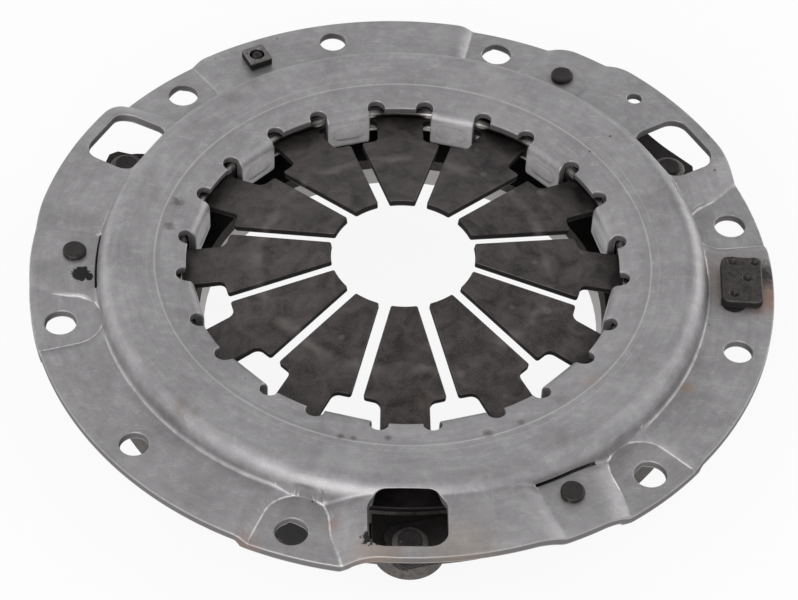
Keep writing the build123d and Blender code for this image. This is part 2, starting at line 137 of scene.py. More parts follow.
for name, place, size, watts in (("lamp_back", (-0.3, 0.9, 1.1), 1.1, 2.6),
                                 ("lamp_left", (-0.9, -0.3, 0.85), 1.1, 2.9),
                                 ("lamp_front", (-0.35, -1.2, 0.45), 0.9, 11.0),
                                 ("lamp_right", (0.9, 0.0, 0.95), 1.2, 3.9),
                                 ("lamp_far_right", (1.0, 0.9, 0.35), 0.6, 3.5),
                                 ("lamp_far_left", (-1.1, 0.8, 0.35), 0.6, 2.0)):
    light = bpy.data.lights.new(name, "AREA")
    light.size = size
    light.energy = watts
    lamp = added(name, light)
    lamp.location = place
    lamp.rotation_euler = Vector(place).to_track_quat("Z", "Y").to_euler()

# Cover: one steel sheet, blanked, drawn to a dome with a stepped rim, pierced and bent.
# It is laid out here as a flat blank: distance from the axis along the sheet, and angle.
# Each point of the blank then goes to its place on the pressed shape, on its top or underside.
SHEET, SHEET_BEVEL = 2.8, 0.35
SECTOR, WINDOWS = 120.0, (30.0, 150.0, 270.0)
LAND, CROWN, WALL, EDGE = 62.1, 70.9, 87.6, 107.0
CROWN_TOP, CROWN_TILT, LAND_SLOPE = 10.8, math.radians(7.7), 1.5 / 8.8
CROWN_SLOPE = math.tan(CROWN_TILT)
SHOULDER, FOOT = 6.0, 1.2
SHOULDER_AXIS = (WALL - SHOULDER,
                 CROWN_TOP + (WALL - SHOULDER - CROWN) * CROWN_SLOPE - SHOULDER / math.cos(CROWN_TILT))
SHOULDER_START = SHOULDER_AXIS[0] - SHOULDER * math.sin(CROWN_TILT)
BLANK_WALL, BLANK_FOOT, BLANK_EDGE = 93.0, 95.0, 113.2
# Heights of the rim's underside, and its steps: height before and after, angles at the wall and at the
# edge, softness low and high
PAD, DOWEL, SEAT, SILL = 0.0, 1.9, 3.4, 6.0
STEPS = ((DOWEL, PAD, (-19.0, -17.0), (-19.0, -17.0), 0.3, 0.3),
         (PAD, SILL, (-14.5, -9.5), (-9.25, -6.0), 0.12, 0.85),
         (SILL, SEAT, (20.5, 23.2), (20.5, 23.2), 0.9, 0.1),
         (SEAT, PAD, (34.0, 38.5), (31.2, 34.0), 0.88, 0.12),
         (PAD, DOWEL, (41.0, 43.0), (41.0, 43.0), 0.3, 0.3))
# Bolt pads: angle from the lug window, and the side on which that window lies. Their straight sides aim
# at a radius past the edge, at an angle away from the window and one towards it.
ARCHES = ((-18.0, 1), (42.0, -1))
ARCH_RADIUS, ARCH_CENTRE = 9.0, 96.1
SIDE_AIM, SIDE_AWAY, SIDE_TOWARD = 128.9, 5.2, 9.2
STEEP_STEP, GENTLE_STEP = 0.8, 4.8
BITE_TOP, BITE_FADE, BITE_EASE = 8.4, 1.5, 0.6
BOLT_CIRCLE, BOLT_HOLE, DOWEL_HOLE, GAUGE_HOLE = 99.0, 4.5, 4.05, 2.25
RIVET_CIRCLE, RIVET_HOLE, WEIGHT_CIRCLE, WEIGHT_HOLE = 94.4, 2.6, 97.5, 2.05
LUG_TURN, SEAT_TURN, DOWEL_TURN, GAUGE_TURN, WEIGHT_TURNS = 0.6, 28.0, 72.0, 43.8, (356.8, 116.8)
WINDOW_IN, WINDOW_OUT, WINDOW_HALF, WINDOW_CORNER = 85.6, 103.15, 10.7, 5.0
SLIT_IN, SLIT_OUT, SLIT_TURNS = 93.8, 94.6, (23.2, 35.8)
# Tabs, and the coined recess in each
TABS, TAB_STEP, TAB_TURN, TAB_HALF, TAB_ROOT, TAB_END, TAB_THINNED = 12, 30, 15.0, 6.6, 66.0, 42.0, 0.2
COIN_IN, COIN_OUT, COIN_HALF, COIN_CORNER, COIN_SOFT, COIN_DEEP = 52.2, 56.8, 4.5, 2.1, 0.5, 0.3


def ease(x, soft):
    """Corner of a broken line, rounded by the given half width."""
    return np.where(x < -soft, 0.0, np.where(x > soft, x, (x + soft) ** 2 / (4 * soft)))


def from_window(turn):
    """Angle from the nearest lug window's centre, in degrees, from -48 to 72."""
    return (turn - WINDOWS[0] + 48.0) % SECTOR - 48.0


def from_bolt(turn, bolt):
    """Angle from the nearest bolt pad of one row, in radians."""
    return np.radians((turn - WINDOWS[0] - bolt + SECTOR / 2) % SECTOR - SECTOR / 2)


def rim_height(r, turn):
    """Height of the rim's underside."""
    rel, out = from_window(turn), (r - WALL) / (EDGE - WALL)
    height = np.full(np.shape(r), DOWEL)
    for before, after, wall, edge, first, last in STEPS:
        start, end = wall[0] + (edge[0] - wall[0]) * out, wall[1] + (edge[1] - wall[1]) * out
        t = (rel - start) / (end - start)
        height = height + (after - before) * (ease(t, first) - ease(t - 1, last))
    return height


def foot_line(turn):
    """Top of the rim at the wall, the foot's radius, the shoulder's angle there, and the wall's height."""
    flat = rim_height(np.full(np.shape(turn), WALL + FOOT), turn) + SHEET
    cx, cz = SHOULDER_AXIS
    rise = flat + FOOT - cz
    span = np.sqrt(np.maximum((SHOULDER + FOOT) ** 2 - np.maximum(rise, 0) ** 2, 1))
    foot_x = np.where(rise <= 0, WALL + FOOT, cx + span)
    end = np.where(rise <= 0, math.pi / 2, np.arctan2(foot_x - cx, np.maximum(rise, 0)))
    return flat, foot_x, end, np.maximum(-rise, 0)


def pressed(s, turn):
    """Top of the sheet for points of the blank, before the bolt pads are coined."""
    cx, cz = SHOULDER_AXIS
    flat, foot_x, end, wall = foot_line(turn)
    arc = (end + CROWN_TILT) * SHOULDER
    along = np.clip((s - SHOULDER_START) / (BLANK_WALL - SHOULDER_START), 0, 1) * (arc + wall)
    angle = np.minimum(along, arc) / SHOULDER - CROWN_TILT
    r = np.where(s < SHOULDER_START, s, cx + SHOULDER * np.sin(angle))
    z = CROWN_TOP + (s - CROWN) * np.where(s < CROWN, LAND_SLOPE, CROWN_SLOPE)
    z = np.where(s < SHOULDER_START, z, cz + SHOULDER * np.cos(angle) - np.maximum(along - arc, 0))
    turned = np.clip((BLANK_FOOT - s) / (BLANK_FOOT - BLANK_WALL), 0, 1) * end
    in_foot, on_rim = (s > BLANK_WALL) & (s <= BLANK_FOOT), s > BLANK_FOOT
    r = np.where(in_foot, foot_x - FOOT * np.sin(turned), r)
    z = np.where(in_foot, flat + FOOT * (1 - np.cos(turned)), z)
    r = np.where(on_rim, foot_x + (s - BLANK_FOOT) * (EDGE - foot_x) / (BLANK_EDGE - BLANK_FOOT), r)
    z = np.where(on_rim, rim_height(r, turn) + SHEET, z)
    return r, z


def blank_distance(r, turn):
    """Distance on the blank of a point of the rim, foot or shoulder, seen from above."""
    cx = SHOULDER_AXIS[0]
    _, foot_x, end, wall = foot_line(turn)
    on_rim = BLANK_FOOT + (r - foot_x) * (BLANK_EDGE - BLANK_FOOT) / (EDGE - foot_x)
    turned = np.arcsin(np.clip((foot_x - r) / FOOT, 0, 1))
    in_foot = BLANK_FOOT - (BLANK_FOOT - BLANK_WALL) * np.minimum(turned / end, 1)
    total = (end + CROWN_TILT) * SHOULDER + wall
    angle = np.arcsin(np.clip((r - cx) / SHOULDER, -1, 1))
    on_arc = SHOULDER_START + (angle + CROWN_TILT) * SHOULDER / total * (BLANK_WALL - SHOULDER_START)
    return np.where(r >= foot_x, on_rim, np.where(r > cx + SHOULDER * np.sin(end), in_foot, on_arc))


def arch_sides(side):
    """Outward directions of a bolt pad's two straight sides, seen from its round end's centre."""
    found = []
    low, high = (SIDE_AWAY, SIDE_TOWARD) if side > 0 else (SIDE_TOWARD, SIDE_AWAY)
    for tilt, up in ((-low, -1), (high, 1)):
        x = SIDE_AIM * math.cos(math.radians(tilt)) - ARCH_CENTRE
        y = SIDE_AIM * math.sin(math.radians(tilt))
        found.append(math.atan2(y, x) + up * math.acos(ARCH_RADIUS / math.hypot(x, y)))
    return found


def arch_distance(r, turn):
    """Distance outside the nearest bolt pad's outline, seen from above."""
    far = 99.0
    best = np.full(np.shape(r), far)
    for bolt, side in ARCHES:
        around = from_bolt(turn, bolt)
        x, y = r * np.cos(around) - ARCH_CENTRE, r * np.sin(around)
        below, above = arch_sides(side)
        direction = np.arctan2(y, x)
        away = np.hypot(x, y) - ARCH_RADIUS
        over, under = (direction >= 0) & (direction < above), (direction < 0) & (direction > below)
        for beside, at in ((over, above), (under, below)):
            away = np.where(beside, x * math.cos(at) + y * math.sin(at) - ARCH_RADIUS, away)
        best = np.minimum(best, np.where(np.abs(around) < 0.5, away, far))
    return best


def smooth(x):
    """Soft step from 0 to 1."""
    x = np.clip(x, 0, 1)
    return x * x * (3 - 2 * x)


def tab_curve(p, depth):
    """Place of a tab's points in its own upright plane: down through the spring, then out below it."""
    face, low, outside = 59.85, -4.34, 3.5
    slant = math.atan(LAND_SLOPE)
    top = CROWN_TOP + (face + outside - CROWN) * LAND_SLOPE - outside / math.cos(slant)
    run = np.maximum((face + outside - outside * math.sin(slant)) - p, 0.0)
    first, leg, second = outside * (math.pi / 2 - slant), top - (low + outside), outside * math.pi / 2
    a = slant + np.minimum(run, first) / outside
    x, z = face + outside - outside * np.sin(a), top + outside * np.cos(a)
    z = z - np.clip(run - first, 0, leg)
    b = np.clip(run - first - leg, 0, second) / outside
    x = np.where(b > 0, face + outside - outside * np.cos(b), x)
    z = np.where(b > 0, low + outside - outside * np.sin(b), z)
    x = x + np.maximum(run - first - leg - second, 0)
    heading = a + b
    return x + depth * np.sin(heading), z - depth * np.cos(heading)


def drawn_spot(s, turn):
    """Top of the drawn sheet, with its wall eased back over the bolt pads."""
    r, z = pressed(s, turn)
    wall_zone = smooth((BITE_TOP - z) / BITE_FADE) * (s <= BLANK_FOOT)
    for bolt, _ in ARCHES:
        around = from_bolt(turn, bolt)
        across = np.minimum(np.abs(ARCH_CENTRE * np.sin(around)), ARCH_RADIUS)
        inner = ARCH_CENTRE * np.cos(around) - np.sqrt(ARCH_RADIUS ** 2 - across ** 2)
        bite = np.where(np.abs(around) < 0.1, ease(WALL - inner, BITE_EASE), 0)
        r = r - bite * wall_zone * (s > SHOULDER_START)
    a = np.radians(turn)
    return np.stack([r * np.cos(a), r * np.sin(a), z], -1)


def cover_place(u, v, depth):
    """Pressed place of points of the blank, depth from 0 on top to 1 on the underside."""
    s, turn = np.hypot(u, v), np.degrees(np.arctan2(v, u))
    here = drawn_spot(s, turn)
    outward = drawn_spot(s + 0.03, turn) - drawn_spot(s - 0.03, turn)
    sideways = drawn_spot(s, turn + 0.02) - drawn_spot(s, turn - 0.02)
    normal = np.cross(outward, sideways)
    normal /= np.linalg.norm(normal, axis=-1, keepdims=True)
    under = here - normal * SHEET

    # The bolt pads are struck flat, with a steep step by the windows and a gentle one by the dowel holes
    away = arch_distance(np.hypot(here[:, 0], here[:, 1]), turn)
    rel = from_window(turn)
    gentle = smooth((np.maximum(ARCHES[0][0] - rel, rel - ARCHES[1][0]) + 1.0) / 3.0)
    steep = 1 - smooth(away / STEEP_STEP)
    coined = steep * (1 - gentle) + (1 - np.clip(away / GENTLE_STEP, 0, 1)) ** 2 * gentle
    coined = np.where(s > BLANK_WALL - 0.01, coined, 0)
    here[:, 2] += (PAD + SHEET - here[:, 2]) * coined
    beneath = np.where(s > BLANK_WALL - 2.0, 1 - smooth((away - 1.9) / 1.6), 0)
    under[:, 2] += (np.minimum(under[:, 2], PAD) - under[:, 2]) * beneath
    place = here + (under - here) * depth[:, None]

    # The tabs are rolled down, a little thinner than the sheet
    tab = np.round((turn - TAB_TURN) / TAB_STEP) * TAB_STEP + TAB_TURN
    a = np.radians(turn - tab)
    p, q = s * np.cos(a), s * np.sin(a)
    bent = (p < TAB_ROOT) & (np.abs(q) < TAB_HALF + 0.02)
    blend = smooth((TAB_ROOT - p) / 3.0)
    long, wide = (COIN_OUT - COIN_IN) / 2 - COIN_CORNER, COIN_HALF - COIN_CORNER
    from_middle = np.maximum(np.abs(p - (COIN_IN + COIN_OUT) / 2) - long, 0)
    corner = np.hypot(from_middle, np.maximum(np.abs(q) - wide, 0)) - COIN_CORNER
    coin = COIN_DEEP * (1 - smooth(corner / COIN_SOFT))
    x, z = tab_curve(p, depth * (SHEET - TAB_THINNED * blend) + coin * (1 - depth))
    t = np.radians(tab)
    on_tab = np.stack([x * np.cos(t) - q * np.sin(t), x * np.sin(t) + q * np.cos(t), z], -1)
    return np.where(bent[:, None], place + (on_tab - place) * blend[:, None], place)


# Pairs of a point and an edge that are worked on at once
PAIRS = 2000000


def even_odd(points, loops):
    """True for points inside the closed outlines, where an outline inside another is a hole."""
    inside = np.zeros(len(points), bool)
    for loop in loops:
        low, high = loop.min(0), loop.max(0)
        near = (points[:, 1] > low[1]) & (points[:, 1] < high[1]) & (points[:, 0] < high[0])
        near = np.nonzero(near)[0]
        a, b = loop, np.roll(loop, -1, 0)
        rise = np.where(b[:, 1] == a[:, 1], 1, b[:, 1] - a[:, 1])
        for part in np.array_split(near, max(1, len(near) * len(loop) // PAIRS)):
            x, y = points[part, 0][:, None], points[part, 1][:, None]
            over = (a[:, 1] > y) != (b[:, 1] > y)
            cut = a[:, 0] + (y - a[:, 1]) * (b[:, 0] - a[:, 0]) / rise
            inside[part] ^= (np.sum(over & (x < cut), 1) % 2).astype(bool)
    return inside


def edge_distance(points, loops, reach=3):
    """Distance of each point from the outlines, for points within reach of them."""
    best = np.full(len(points), 1e9)
    for loop in loops:
        near = np.nonzero(np.all((points > loop.min(0) - reach) & (points < loop.max(0) + reach), 1))[0]
        a, d = loop, np.roll(loop, -1, 0) - loop
        for part in np.array_split(near, max(1, len(near) * len(loop) // PAIRS)):
            away = points[part][:, None] - a
            t = np.clip(np.sum(away * d, -1) / np.maximum(np.sum(d * d, -1), 1e-12), 0, 1)
            best[part] = np.minimum(best[part], np.linalg.norm(away - t[..., None] * d, axis=-1).min(1))
    return best


def inset(loop, by):
    """Outline moved to its left."""
    before, after = loop - np.roll(loop, 1, 0), np.roll(loop, -1, 0) - loop
    before, after = (d / np.linalg.norm(d, axis=1, keepdims=True) for d in (before, after))
    left = np.stack([-(before + after)[:, 1], (before + after)[:, 0]], 1)
    left /= np.linalg.norm(left, axis=1, keepdims=True)
    turn = np.clip(np.sum(left * np.stack([-after[:, 1], after[:, 0]], 1), 1), 0.5, 1)
    return loop + left * (by / turn)[:, None]


# Rows of points beside each outline, in bevels
BEVEL_ROWS = (0, 0.3, 1.0, 1.7)


def plate(name, loops, place, thick, bevel, inner=(), creases=(), bends=None):
    """Sheet metal piece: outlines on the flat blank, sheet on their left, brought to place by a rule."""
    rows = [(inset(loop, bevel * k) if k else loop, True) for k in BEVEL_ROWS for loop in loops]
    rows += [(line, False) for line in creases]
    points, edges = [], []
    for line, closed in rows:
        first, count = len(points), len(line)
        points += [tuple(p) for p in line]
        edges += [(first + i, first + (i + 1) % count) for i in range(count if closed else count - 1)]
    if len(inner):
        inner = inner[even_odd(inner, loops)]
        inner = inner[edge_distance(inner, loops) > bevel * BEVEL_ROWS[-1] + 0.25]
        points += [tuple(p) for p in inner]
    flat, _, faces, _, _, _ = delaunay_2d_cdt([Vector(p) for p in points], edges, [], 0, 1e-5)
    flat, faces = np.array([tuple(p) for p in flat]), np.array([f for f in faces if len(f) == 3])
    faces = faces[even_odd(flat[faces].mean(1), loops)]
    used = np.unique(faces)
    fresh = np.zeros(len(flat), int)
    fresh[used] = np.arange(len(used))
    flat, faces = flat[used], fresh[faces]
    inward = np.minimum(edge_distance(flat, loops), bevel)
    drop = (bevel - np.sqrt(np.maximum(bevel ** 2 - (bevel - inward) ** 2, 0))) / thick
    count = len(flat)
    verts = np.concatenate([place(flat[:, 0], flat[:, 1], drop), place(flat[:, 0], flat[:, 1], 1 - drop)])
    sides = np.concatenate([faces[:, [0, 1]], faces[:, [1, 2]], faces[:, [2, 0]]])
    keys = {tuple(side) for side in sides.tolist()}
    rims = [side for side in keys if (side[1], side[0]) not in keys]
    walls = [(b, a, a + count, b + count) for a, b in rims]
    solid = faces.tolist() + (faces[:, ::-1] + count).tolist() + walls
    mesh = bpy.data.meshes.new(name)
    mesh.from_pydata((verts * mm).tolist(), [], solid)
    mesh.shade_smooth()
    mesh.set_sharp_from_angle(angle=math.radians(50))
    values = {"edge": np.tile(1 - inward / bevel, 2), "depth": np.repeat([0.0, 1.0], count)}
    if bends:
        values["bend"] = np.tile(bends(flat[:, 0], flat[:, 1]), 2)
    for label, each in values.items():
        mesh.attributes.new(label, "FLOAT", "POINT").data.foreach_set("value", each.astype(np.float32))
    return added(name, mesh)


def ring(x, y, radius, count, clockwise=False):
    """Circle as points, counter-clockwise unless it bounds a hole."""
    turn = np.arange(count) * 2 * math.pi / count * (-1 if clockwise else 1)
    return np.stack([x + radius * np.cos(turn), y + radius * np.sin(turn)], 1)


def on_blank(points, turn):
    """Outline drawn beside the X axis, seen from above, as points of the blank at an angle."""
    x, y = points[:, 0], points[:, 1]
    r, a = np.hypot(x, y), np.degrees(np.arctan2(y, x)) + turn
    s = blank_distance(r, a)
    return np.stack([s * np.cos(np.radians(a)), s * np.sin(np.radians(a))], 1)


def divided(points, step, closed=True):
    """Broken line with points added along its runs."""
    made = []
    ends = np.roll(points, -1, 0) if closed else points[1:]
    for a, b in zip(points, ends):
        parts = max(1, int(np.linalg.norm(b - a) / step))
        made += [a + (b - a) * k / parts for k in range(parts)]
    return np.array(made if closed else made + [points[-1]])


def rounded(x0, x1, y0, y1, corner, count=8):
    """Counter-clockwise rectangle with round corners."""
    points = []
    left, right, near, far = x0 + corner, x1 - corner, y0 + corner, y1 - corner
    for k, (x, y) in enumerate(((right, far), (left, far), (left, near), (right, near))):
        turn = np.radians(90 * k + np.linspace(0, 90, count))
        points += [(x + corner * math.cos(t), y + corner * math.sin(t)) for t in turn]
    return np.array(points)


def spun(points, degrees):
    """Points turned round the axis."""
    a = math.radians(degrees)
    return points @ np.array([[math.cos(a), -math.sin(a)], [math.sin(a), math.cos(a)]]).T


def eye_outline():
    """Central opening on the blank: notches and tabs, round to the left of the sheet."""
    notch, notch_circle, notch_turn, notch_end = 2.6, 62.5, math.radians(8.3), 10.66
    centre = notch_circle * np.array([math.cos(notch_turn), math.sin(notch_turn)])
    far = LAND * np.array([math.cos(math.radians(notch_end)), math.sin(math.radians(notch_end))])
    meet = np.array([centre[0] - math.sqrt(notch ** 2 - (centre[1] - TAB_HALF) ** 2), TAB_HALF])
    turns = np.linspace(math.atan2(*(far - centre)[::-1]), math.atan2(*(meet - centre)[::-1]), 16)
    arc = centre + notch * np.stack([np.cos(turns), np.sin(turns)], 1)
    side = np.array([[x, TAB_HALF] for x in np.arange(60.2, TAB_END + 0.2, -0.8)] + [[TAB_END, TAB_HALF]])
    end = np.array([[TAB_END, y] for y in np.linspace(TAB_HALF, -TAB_HALF, 9)[1:-1]])
    half = np.concatenate([arc, side])
    unit = np.concatenate([half, end, half[::-1] * (1, -1)])
    whole = []
    for k in range(TABS):
        whole.append(spun(unit, TAB_TURN + TAB_STEP * k)[::-1])
        between = np.linspace(notch_end, TAB_STEP - notch_end, 11)[1:-1]
        between = np.radians(TAB_TURN + TAB_STEP * k + between)
        whole.append(LAND * np.stack([np.cos(between), np.sin(between)], 1))
    return np.concatenate(whole)[::-1]


outlines = [ring(0, 0, BLANK_EDGE, 900), eye_outline()]
for turn in WINDOWS:
    window = rounded(WINDOW_IN, WINDOW_OUT, -WINDOW_HALF, WINDOW_HALF, WINDOW_CORNER, 12)
    outlines.append(on_blank(divided(window, 1.0)[::-1], turn))
    for bolt, _ in ARCHES:
        outlines.append(on_blank(ring(BOLT_CIRCLE, 0, BOLT_HOLE, 48, True), turn + bolt))
    outlines.append(on_blank(ring(BOLT_CIRCLE, 0, DOWEL_HOLE, 44, True), turn + DOWEL_TURN))
    outlines.append(on_blank(ring(RIVET_CIRCLE, 0, RIVET_HOLE, 20, True), turn + SEAT_TURN))
    turns = np.radians(turn + np.linspace(*SLIT_TURNS, 40))
    sides = ((SLIT_OUT, turns[::-1]), (SLIT_IN, turns))
    slit = [[r * math.cos(t), r * math.sin(t)] for r, row in sides for t in row]
    outlines.append(np.array(slit)[::-1])
outlines.append(on_blank(ring(BOLT_CIRCLE, 0, GAUGE_HOLE, 28, True), GAUGE_TURN))
for turn in WEIGHT_TURNS:
    outlines.append(on_blank(ring(WEIGHT_CIRCLE, 0, WEIGHT_HOLE, 18, True), turn))

# Points inside the outlines: rows across the sheet, close together at the rim's steps, and the tabs
FINE, COARSE = 0.33, 0.9
stations, turn = [], 0.0
while turn < 360.0 - 0.1:
    stations.append(turn)
    rel = float(from_window(np.array(turn)))
    turn += FINE if -24.0 < rel < -3.0 or 17.5 < rel < 24.2 or 29.0 < rel < 47.5 else COARSE
rows = np.concatenate([[63.4, 64.8, 66.4, 68.0, 69.6, 70.5, 70.9, 71.3, 73.5, 76.0, 78.5, 80.2],
                       np.linspace(SHOULDER_START, BLANK_WALL, 17),
                       np.linspace(BLANK_WALL, BLANK_FOOT, 6)[1:],
                       np.linspace(BLANK_FOOT, BLANK_EDGE, 19)[1:-1]])
s, t = np.meshgrid(rows, np.radians(stations))
grid = [np.stack([s * np.cos(t), s * np.sin(t)], -1).reshape(-1, 2)]
for k in range(TABS):
    a = math.radians(TAB_TURN + TAB_STEP * k)
    p, q = np.meshgrid(np.arange(42.8, 62.4, 0.8), np.linspace(-4.6, 4.6, 5))
    turned = [p * math.cos(a) - q * math.sin(a), p * math.sin(a) + q * math.cos(a)]
    grid.append(np.stack(turned, -1).reshape(-1, 2))

# Creases that the mesh follows: round the bolt pads and round the coined recesses
PAST_EDGE = 16
creases = []
for turn in WINDOWS:
    for bolt, side in ARCHES:
        below, above = arch_sides(side)
        around = np.linspace(above, below + 2 * math.pi, 40)
        for out in (-0.25, 0.0, 0.15, 0.3, 0.5, 0.65, 0.8, 1.0):
            reach = ARCH_RADIUS + out
            bow = np.stack([ARCH_CENTRE + reach * np.cos(around), reach * np.sin(around)], 1)
            first = bow[0] + PAST_EDGE * np.array([math.sin(above), -math.cos(above)])
            last = bow[-1] + PAST_EDGE * np.array([-math.sin(below), math.cos(below)])
            line = divided(np.concatenate([[first], bow, [last]]), 0.9, False)
            line = line[np.hypot(line[:, 0], line[:, 1]) < EDGE - 1.0]
            creases.append(on_blank(line, turn + bolt))
for k in range(TABS):
    for out in (0.0, 0.25, 0.5):
        wide = COIN_HALF + out
        mark = rounded(COIN_IN - out, COIN_OUT + out, -wide, wide, COIN_CORNER + out, 6)
        mark = spun(mark, TAB_TURN + TAB_STEP * k)
        creases.append(np.concatenate([mark, mark[:1]]))


def cover_bends(u, v):
    """How hollow (+) or proud (-) the pressed sheet is, for the painted highlight lines along the bends."""
    reach, full = 0.7, 0.12
    here = cover_place(u, v, np.zeros(len(u)))
    s = np.hypot(u, v)
    away = arch_distance(np.hypot(here[:, 0], here[:, 1]), np.degrees(np.arctan2(v, u)))
    above_pad = (away < 3.0) & ((s < BLANK_WALL + 0.3) | ((s < BLANK_FOOT + 0.5) & (away > 0.9)))
    nearby = np.zeros(len(u))
    for k in range(8):
        a = math.pi / 4 * k
        nearby += cover_place(u + reach * math.cos(a), v + reach * math.sin(a), np.zeros(len(u)))[:, 2] / 8
    return np.clip((nearby - here[:, 2]) / full, -1, 1) * ((s > SHOULDER_START + 4) & ~above_pad)


cover = plate("cover_sheet", outlines, cover_place, SHEET, SHEET_BEVEL, np.concatenate(grid), creases,
              bends=cover_bends)

# Pressed steel: low-carbon sheet, drawn, degreased and lightly oiled. Satin grey, cloudy at 20 mm,
# with fine marks round the axis from drawing, pits, scuffs and a few stains from handling and welding.


def in_mm(tree):
    """Place on the piece, in millimetres."""
    spot = node(tree, "ShaderNodeTexCoord").outputs["Object"]
    return node(tree, "ShaderNodeVectorMath", {0: spot, 1: (1000.0, 1000.0, 1000.0)}, operation="MULTIPLY")


def from_axis(tree, place):
    """Place seen from above, and its distance from the clutch's axis."""
    plan = node(tree, "ShaderNodeVectorMath", {0: place, 1: (1.0, 1.0, 0.0)}, operation="MULTIPLY")
    return plan, node(tree, "ShaderNodeVectorMath", {0: plan}, operation="LENGTH").outputs["Value"]


def edge_wear_and_highlight_mask(tree, amount):
    """Mask of the bevelled edges, lightened both as wear and as a painted highlight."""
    edge = node(tree, "ShaderNodeAttribute", attribute_name="edge").outputs["Fac"]
    return node(tree, "ShaderNodeMath", {0: edge, 1: amount}, operation="MULTIPLY")


def cut_wall(tree, amount):
    """Mask of the sheared wall between a sheet's two faces."""
    depth = node(tree, "ShaderNodeAttribute", attribute_name="depth").outputs["Fac"]
    cut = node(tree, "ShaderNodeMath", {0: 1.0, 1: depth}, operation="SUBTRACT")
    cut = node(tree, "ShaderNodeMath", {0: cut, 1: depth}, operation="MULTIPLY")
    return node(tree, "ShaderNodeMapRange", {0: cut, 1: 0.0, 2: 0.12, 3: 0.0, 4: amount})


PAINT_AND_SHADOW = "0d0c0c"
steel = bpy.data.materials.new("satin_pressed_steel")
steel.use_nodes = True
tree = steel.node_tree
skin = tree.nodes["Principled BSDF"]
place = in_mm(tree)
plan, radius = from_axis(tree, place)
heading = node(tree, "ShaderNodeVectorMath", {0: plan}, operation="NORMALIZE")
turning = node(tree, "ShaderNodeVectorMath", {0: heading, 1: (9.0, 9.0, 0.0)}, operation="MULTIPLY")
across = node(tree, "ShaderNodeCombineXYZ", {"Z": radius})
drawn = node(tree, "ShaderNodeVectorMath", {0: turning, 1: across}, operation="ADD")
cloud = node(tree, "ShaderNodeTexNoise",
             {"Vector": place, "Scale": 0.055, "Detail": 3.0, "Roughness": 0.55})
patch = node(tree, "ShaderNodeTexNoise", {"Vector": place, "Scale": 0.28, "Detail": 4.0, "Roughness": 0.65})
streak = node(tree, "ShaderNodeTexNoise", {"Vector": drawn, "Scale": 0.85, "Detail": 3.0, "Roughness": 0.6})
grit = node(tree, "ShaderNodeTexNoise", {"Vector": place, "Scale": 2.6, "Detail": 2.0, "Roughness": 0.7})
tone = None
for value, weight in ((cloud, 0.38), (patch, 0.30), (streak, 0.16), (grit, 0.16)):
    part = node(tree, "ShaderNodeMath", {0: value, 1: weight}, operation="MULTIPLY")
    tone = part if tone is None else node(tree, "ShaderNodeMath", {0: tone, 1: part}, operation="ADD")
grey = node(tree, "ShaderNodeValToRGB", {"Fac": tone})
for stop, at, code in zip(grey.color_ramp.elements, (0.36, 0.62), ("868485", "a9a7a8")):
    stop.position, stop.color = at, colour(code)
shade = grey.outputs["Color"]
rough = node(tree, "ShaderNodeMapRange", {0: tone, 1: 0.3, 2: 0.7, 3: 0.43, 4: 0.57})

# Bend line between land and crown: a painted highlight, a fine bright line with a fainter one further out,
# and a dull band of painted shade inside it
for at, half, code, amount in ((70.2, 0.9, "8d8b8c", 0.5), (71.1, 0.35, "c9c8c8", 0.55),
                               (73.4, 0.25, "bdbcbc", 0.25)):
    off = node(tree, "ShaderNodeMath", {0: radius, 1: at}, operation="SUBTRACT")
    off = node(tree, "ShaderNodeMath", {0: off}, operation="ABSOLUTE")
    near = node(tree, "ShaderNodeMapRange", {0: off, 1: half, 2: 0.0, 3: 0.0, 4: amount})
    near = node(tree, "ShaderNodeMath", {0: near, 1: streak}, operation="MULTIPLY")
    near = node(tree, "ShaderNodeMath", {0: near, 1: 2.0}, operation="MULTIPLY")
    shade = node(tree, "ShaderNodeMix", {0: near, 6: shade, 7: colour(code)}, data_type="RGBA").outputs[2]

# Pits, and thin bright scratches in three directions
pits = node(tree, "ShaderNodeTexVoronoi", {"Vector": place, "Scale": 0.16, "Randomness": 1.0})
size = node(tree, "ShaderNodeSeparateColor", {0: pits.outputs["Color"]})
size = node(tree, "ShaderNodeMapRange", {0: size, 1: 0.72, 2: 1.0, 3: 0.0, 4: 0.07})
pit = node(tree, "ShaderNodeMath", {0: pits.outputs["Distance"], 1: size}, operation="LESS_THAN")
pit = node(tree, "ShaderNodeMath", {0: pit, 1: 0.8}, operation="MULTIPLY")
shade = node(tree, "ShaderNodeMix", {0: pit, 6: shade, 7: colour("3f3c3b")}, data_type="RGBA").outputs[2]
bright = None
for turn, stretch in ((0.5, (0.05, 1.6, 0.3)), (2.2, (0.04, 1.3, 0.3)), (1.2, (0.07, 2.1, 0.3))):
    along = node(tree, "ShaderNodeMapping",
                 {"Vector": place, "Rotation": (0.0, 0.0, turn), "Scale": stretch})
    line = node(tree, "ShaderNodeTexNoise", {"Vector": along, "Scale": 1.0, "Detail": 1.0})
    line = node(tree, "ShaderNodeMath", {0: line, 1: 0.5}, operation="SUBTRACT")
    line = node(tree, "ShaderNodeMath", {0: line}, operation="ABSOLUTE")
    line = node(tree, "ShaderNodeMapRange", {0: line, 1: 0.006, 2: 0.0, 3: 0.0, 4: 0.45})
    if bright is not None:
        line = node(tree, "ShaderNodeMath", {0: bright, 1: line}, operation="MAXIMUM")
    bright = line
patchy = node(tree, "ShaderNodeMapRange", {0: patch, 1: 0.51, 2: 0.6, 3: 0.0, 4: 1.0})
bright = node(tree, "ShaderNodeMath", {0: bright, 1: patchy}, operation="MULTIPLY")
shade = node(tree, "ShaderNodeMix", {0: bright, 6: shade, 7: colour("dcdada")}, data_type="RGBA").outputs[2]
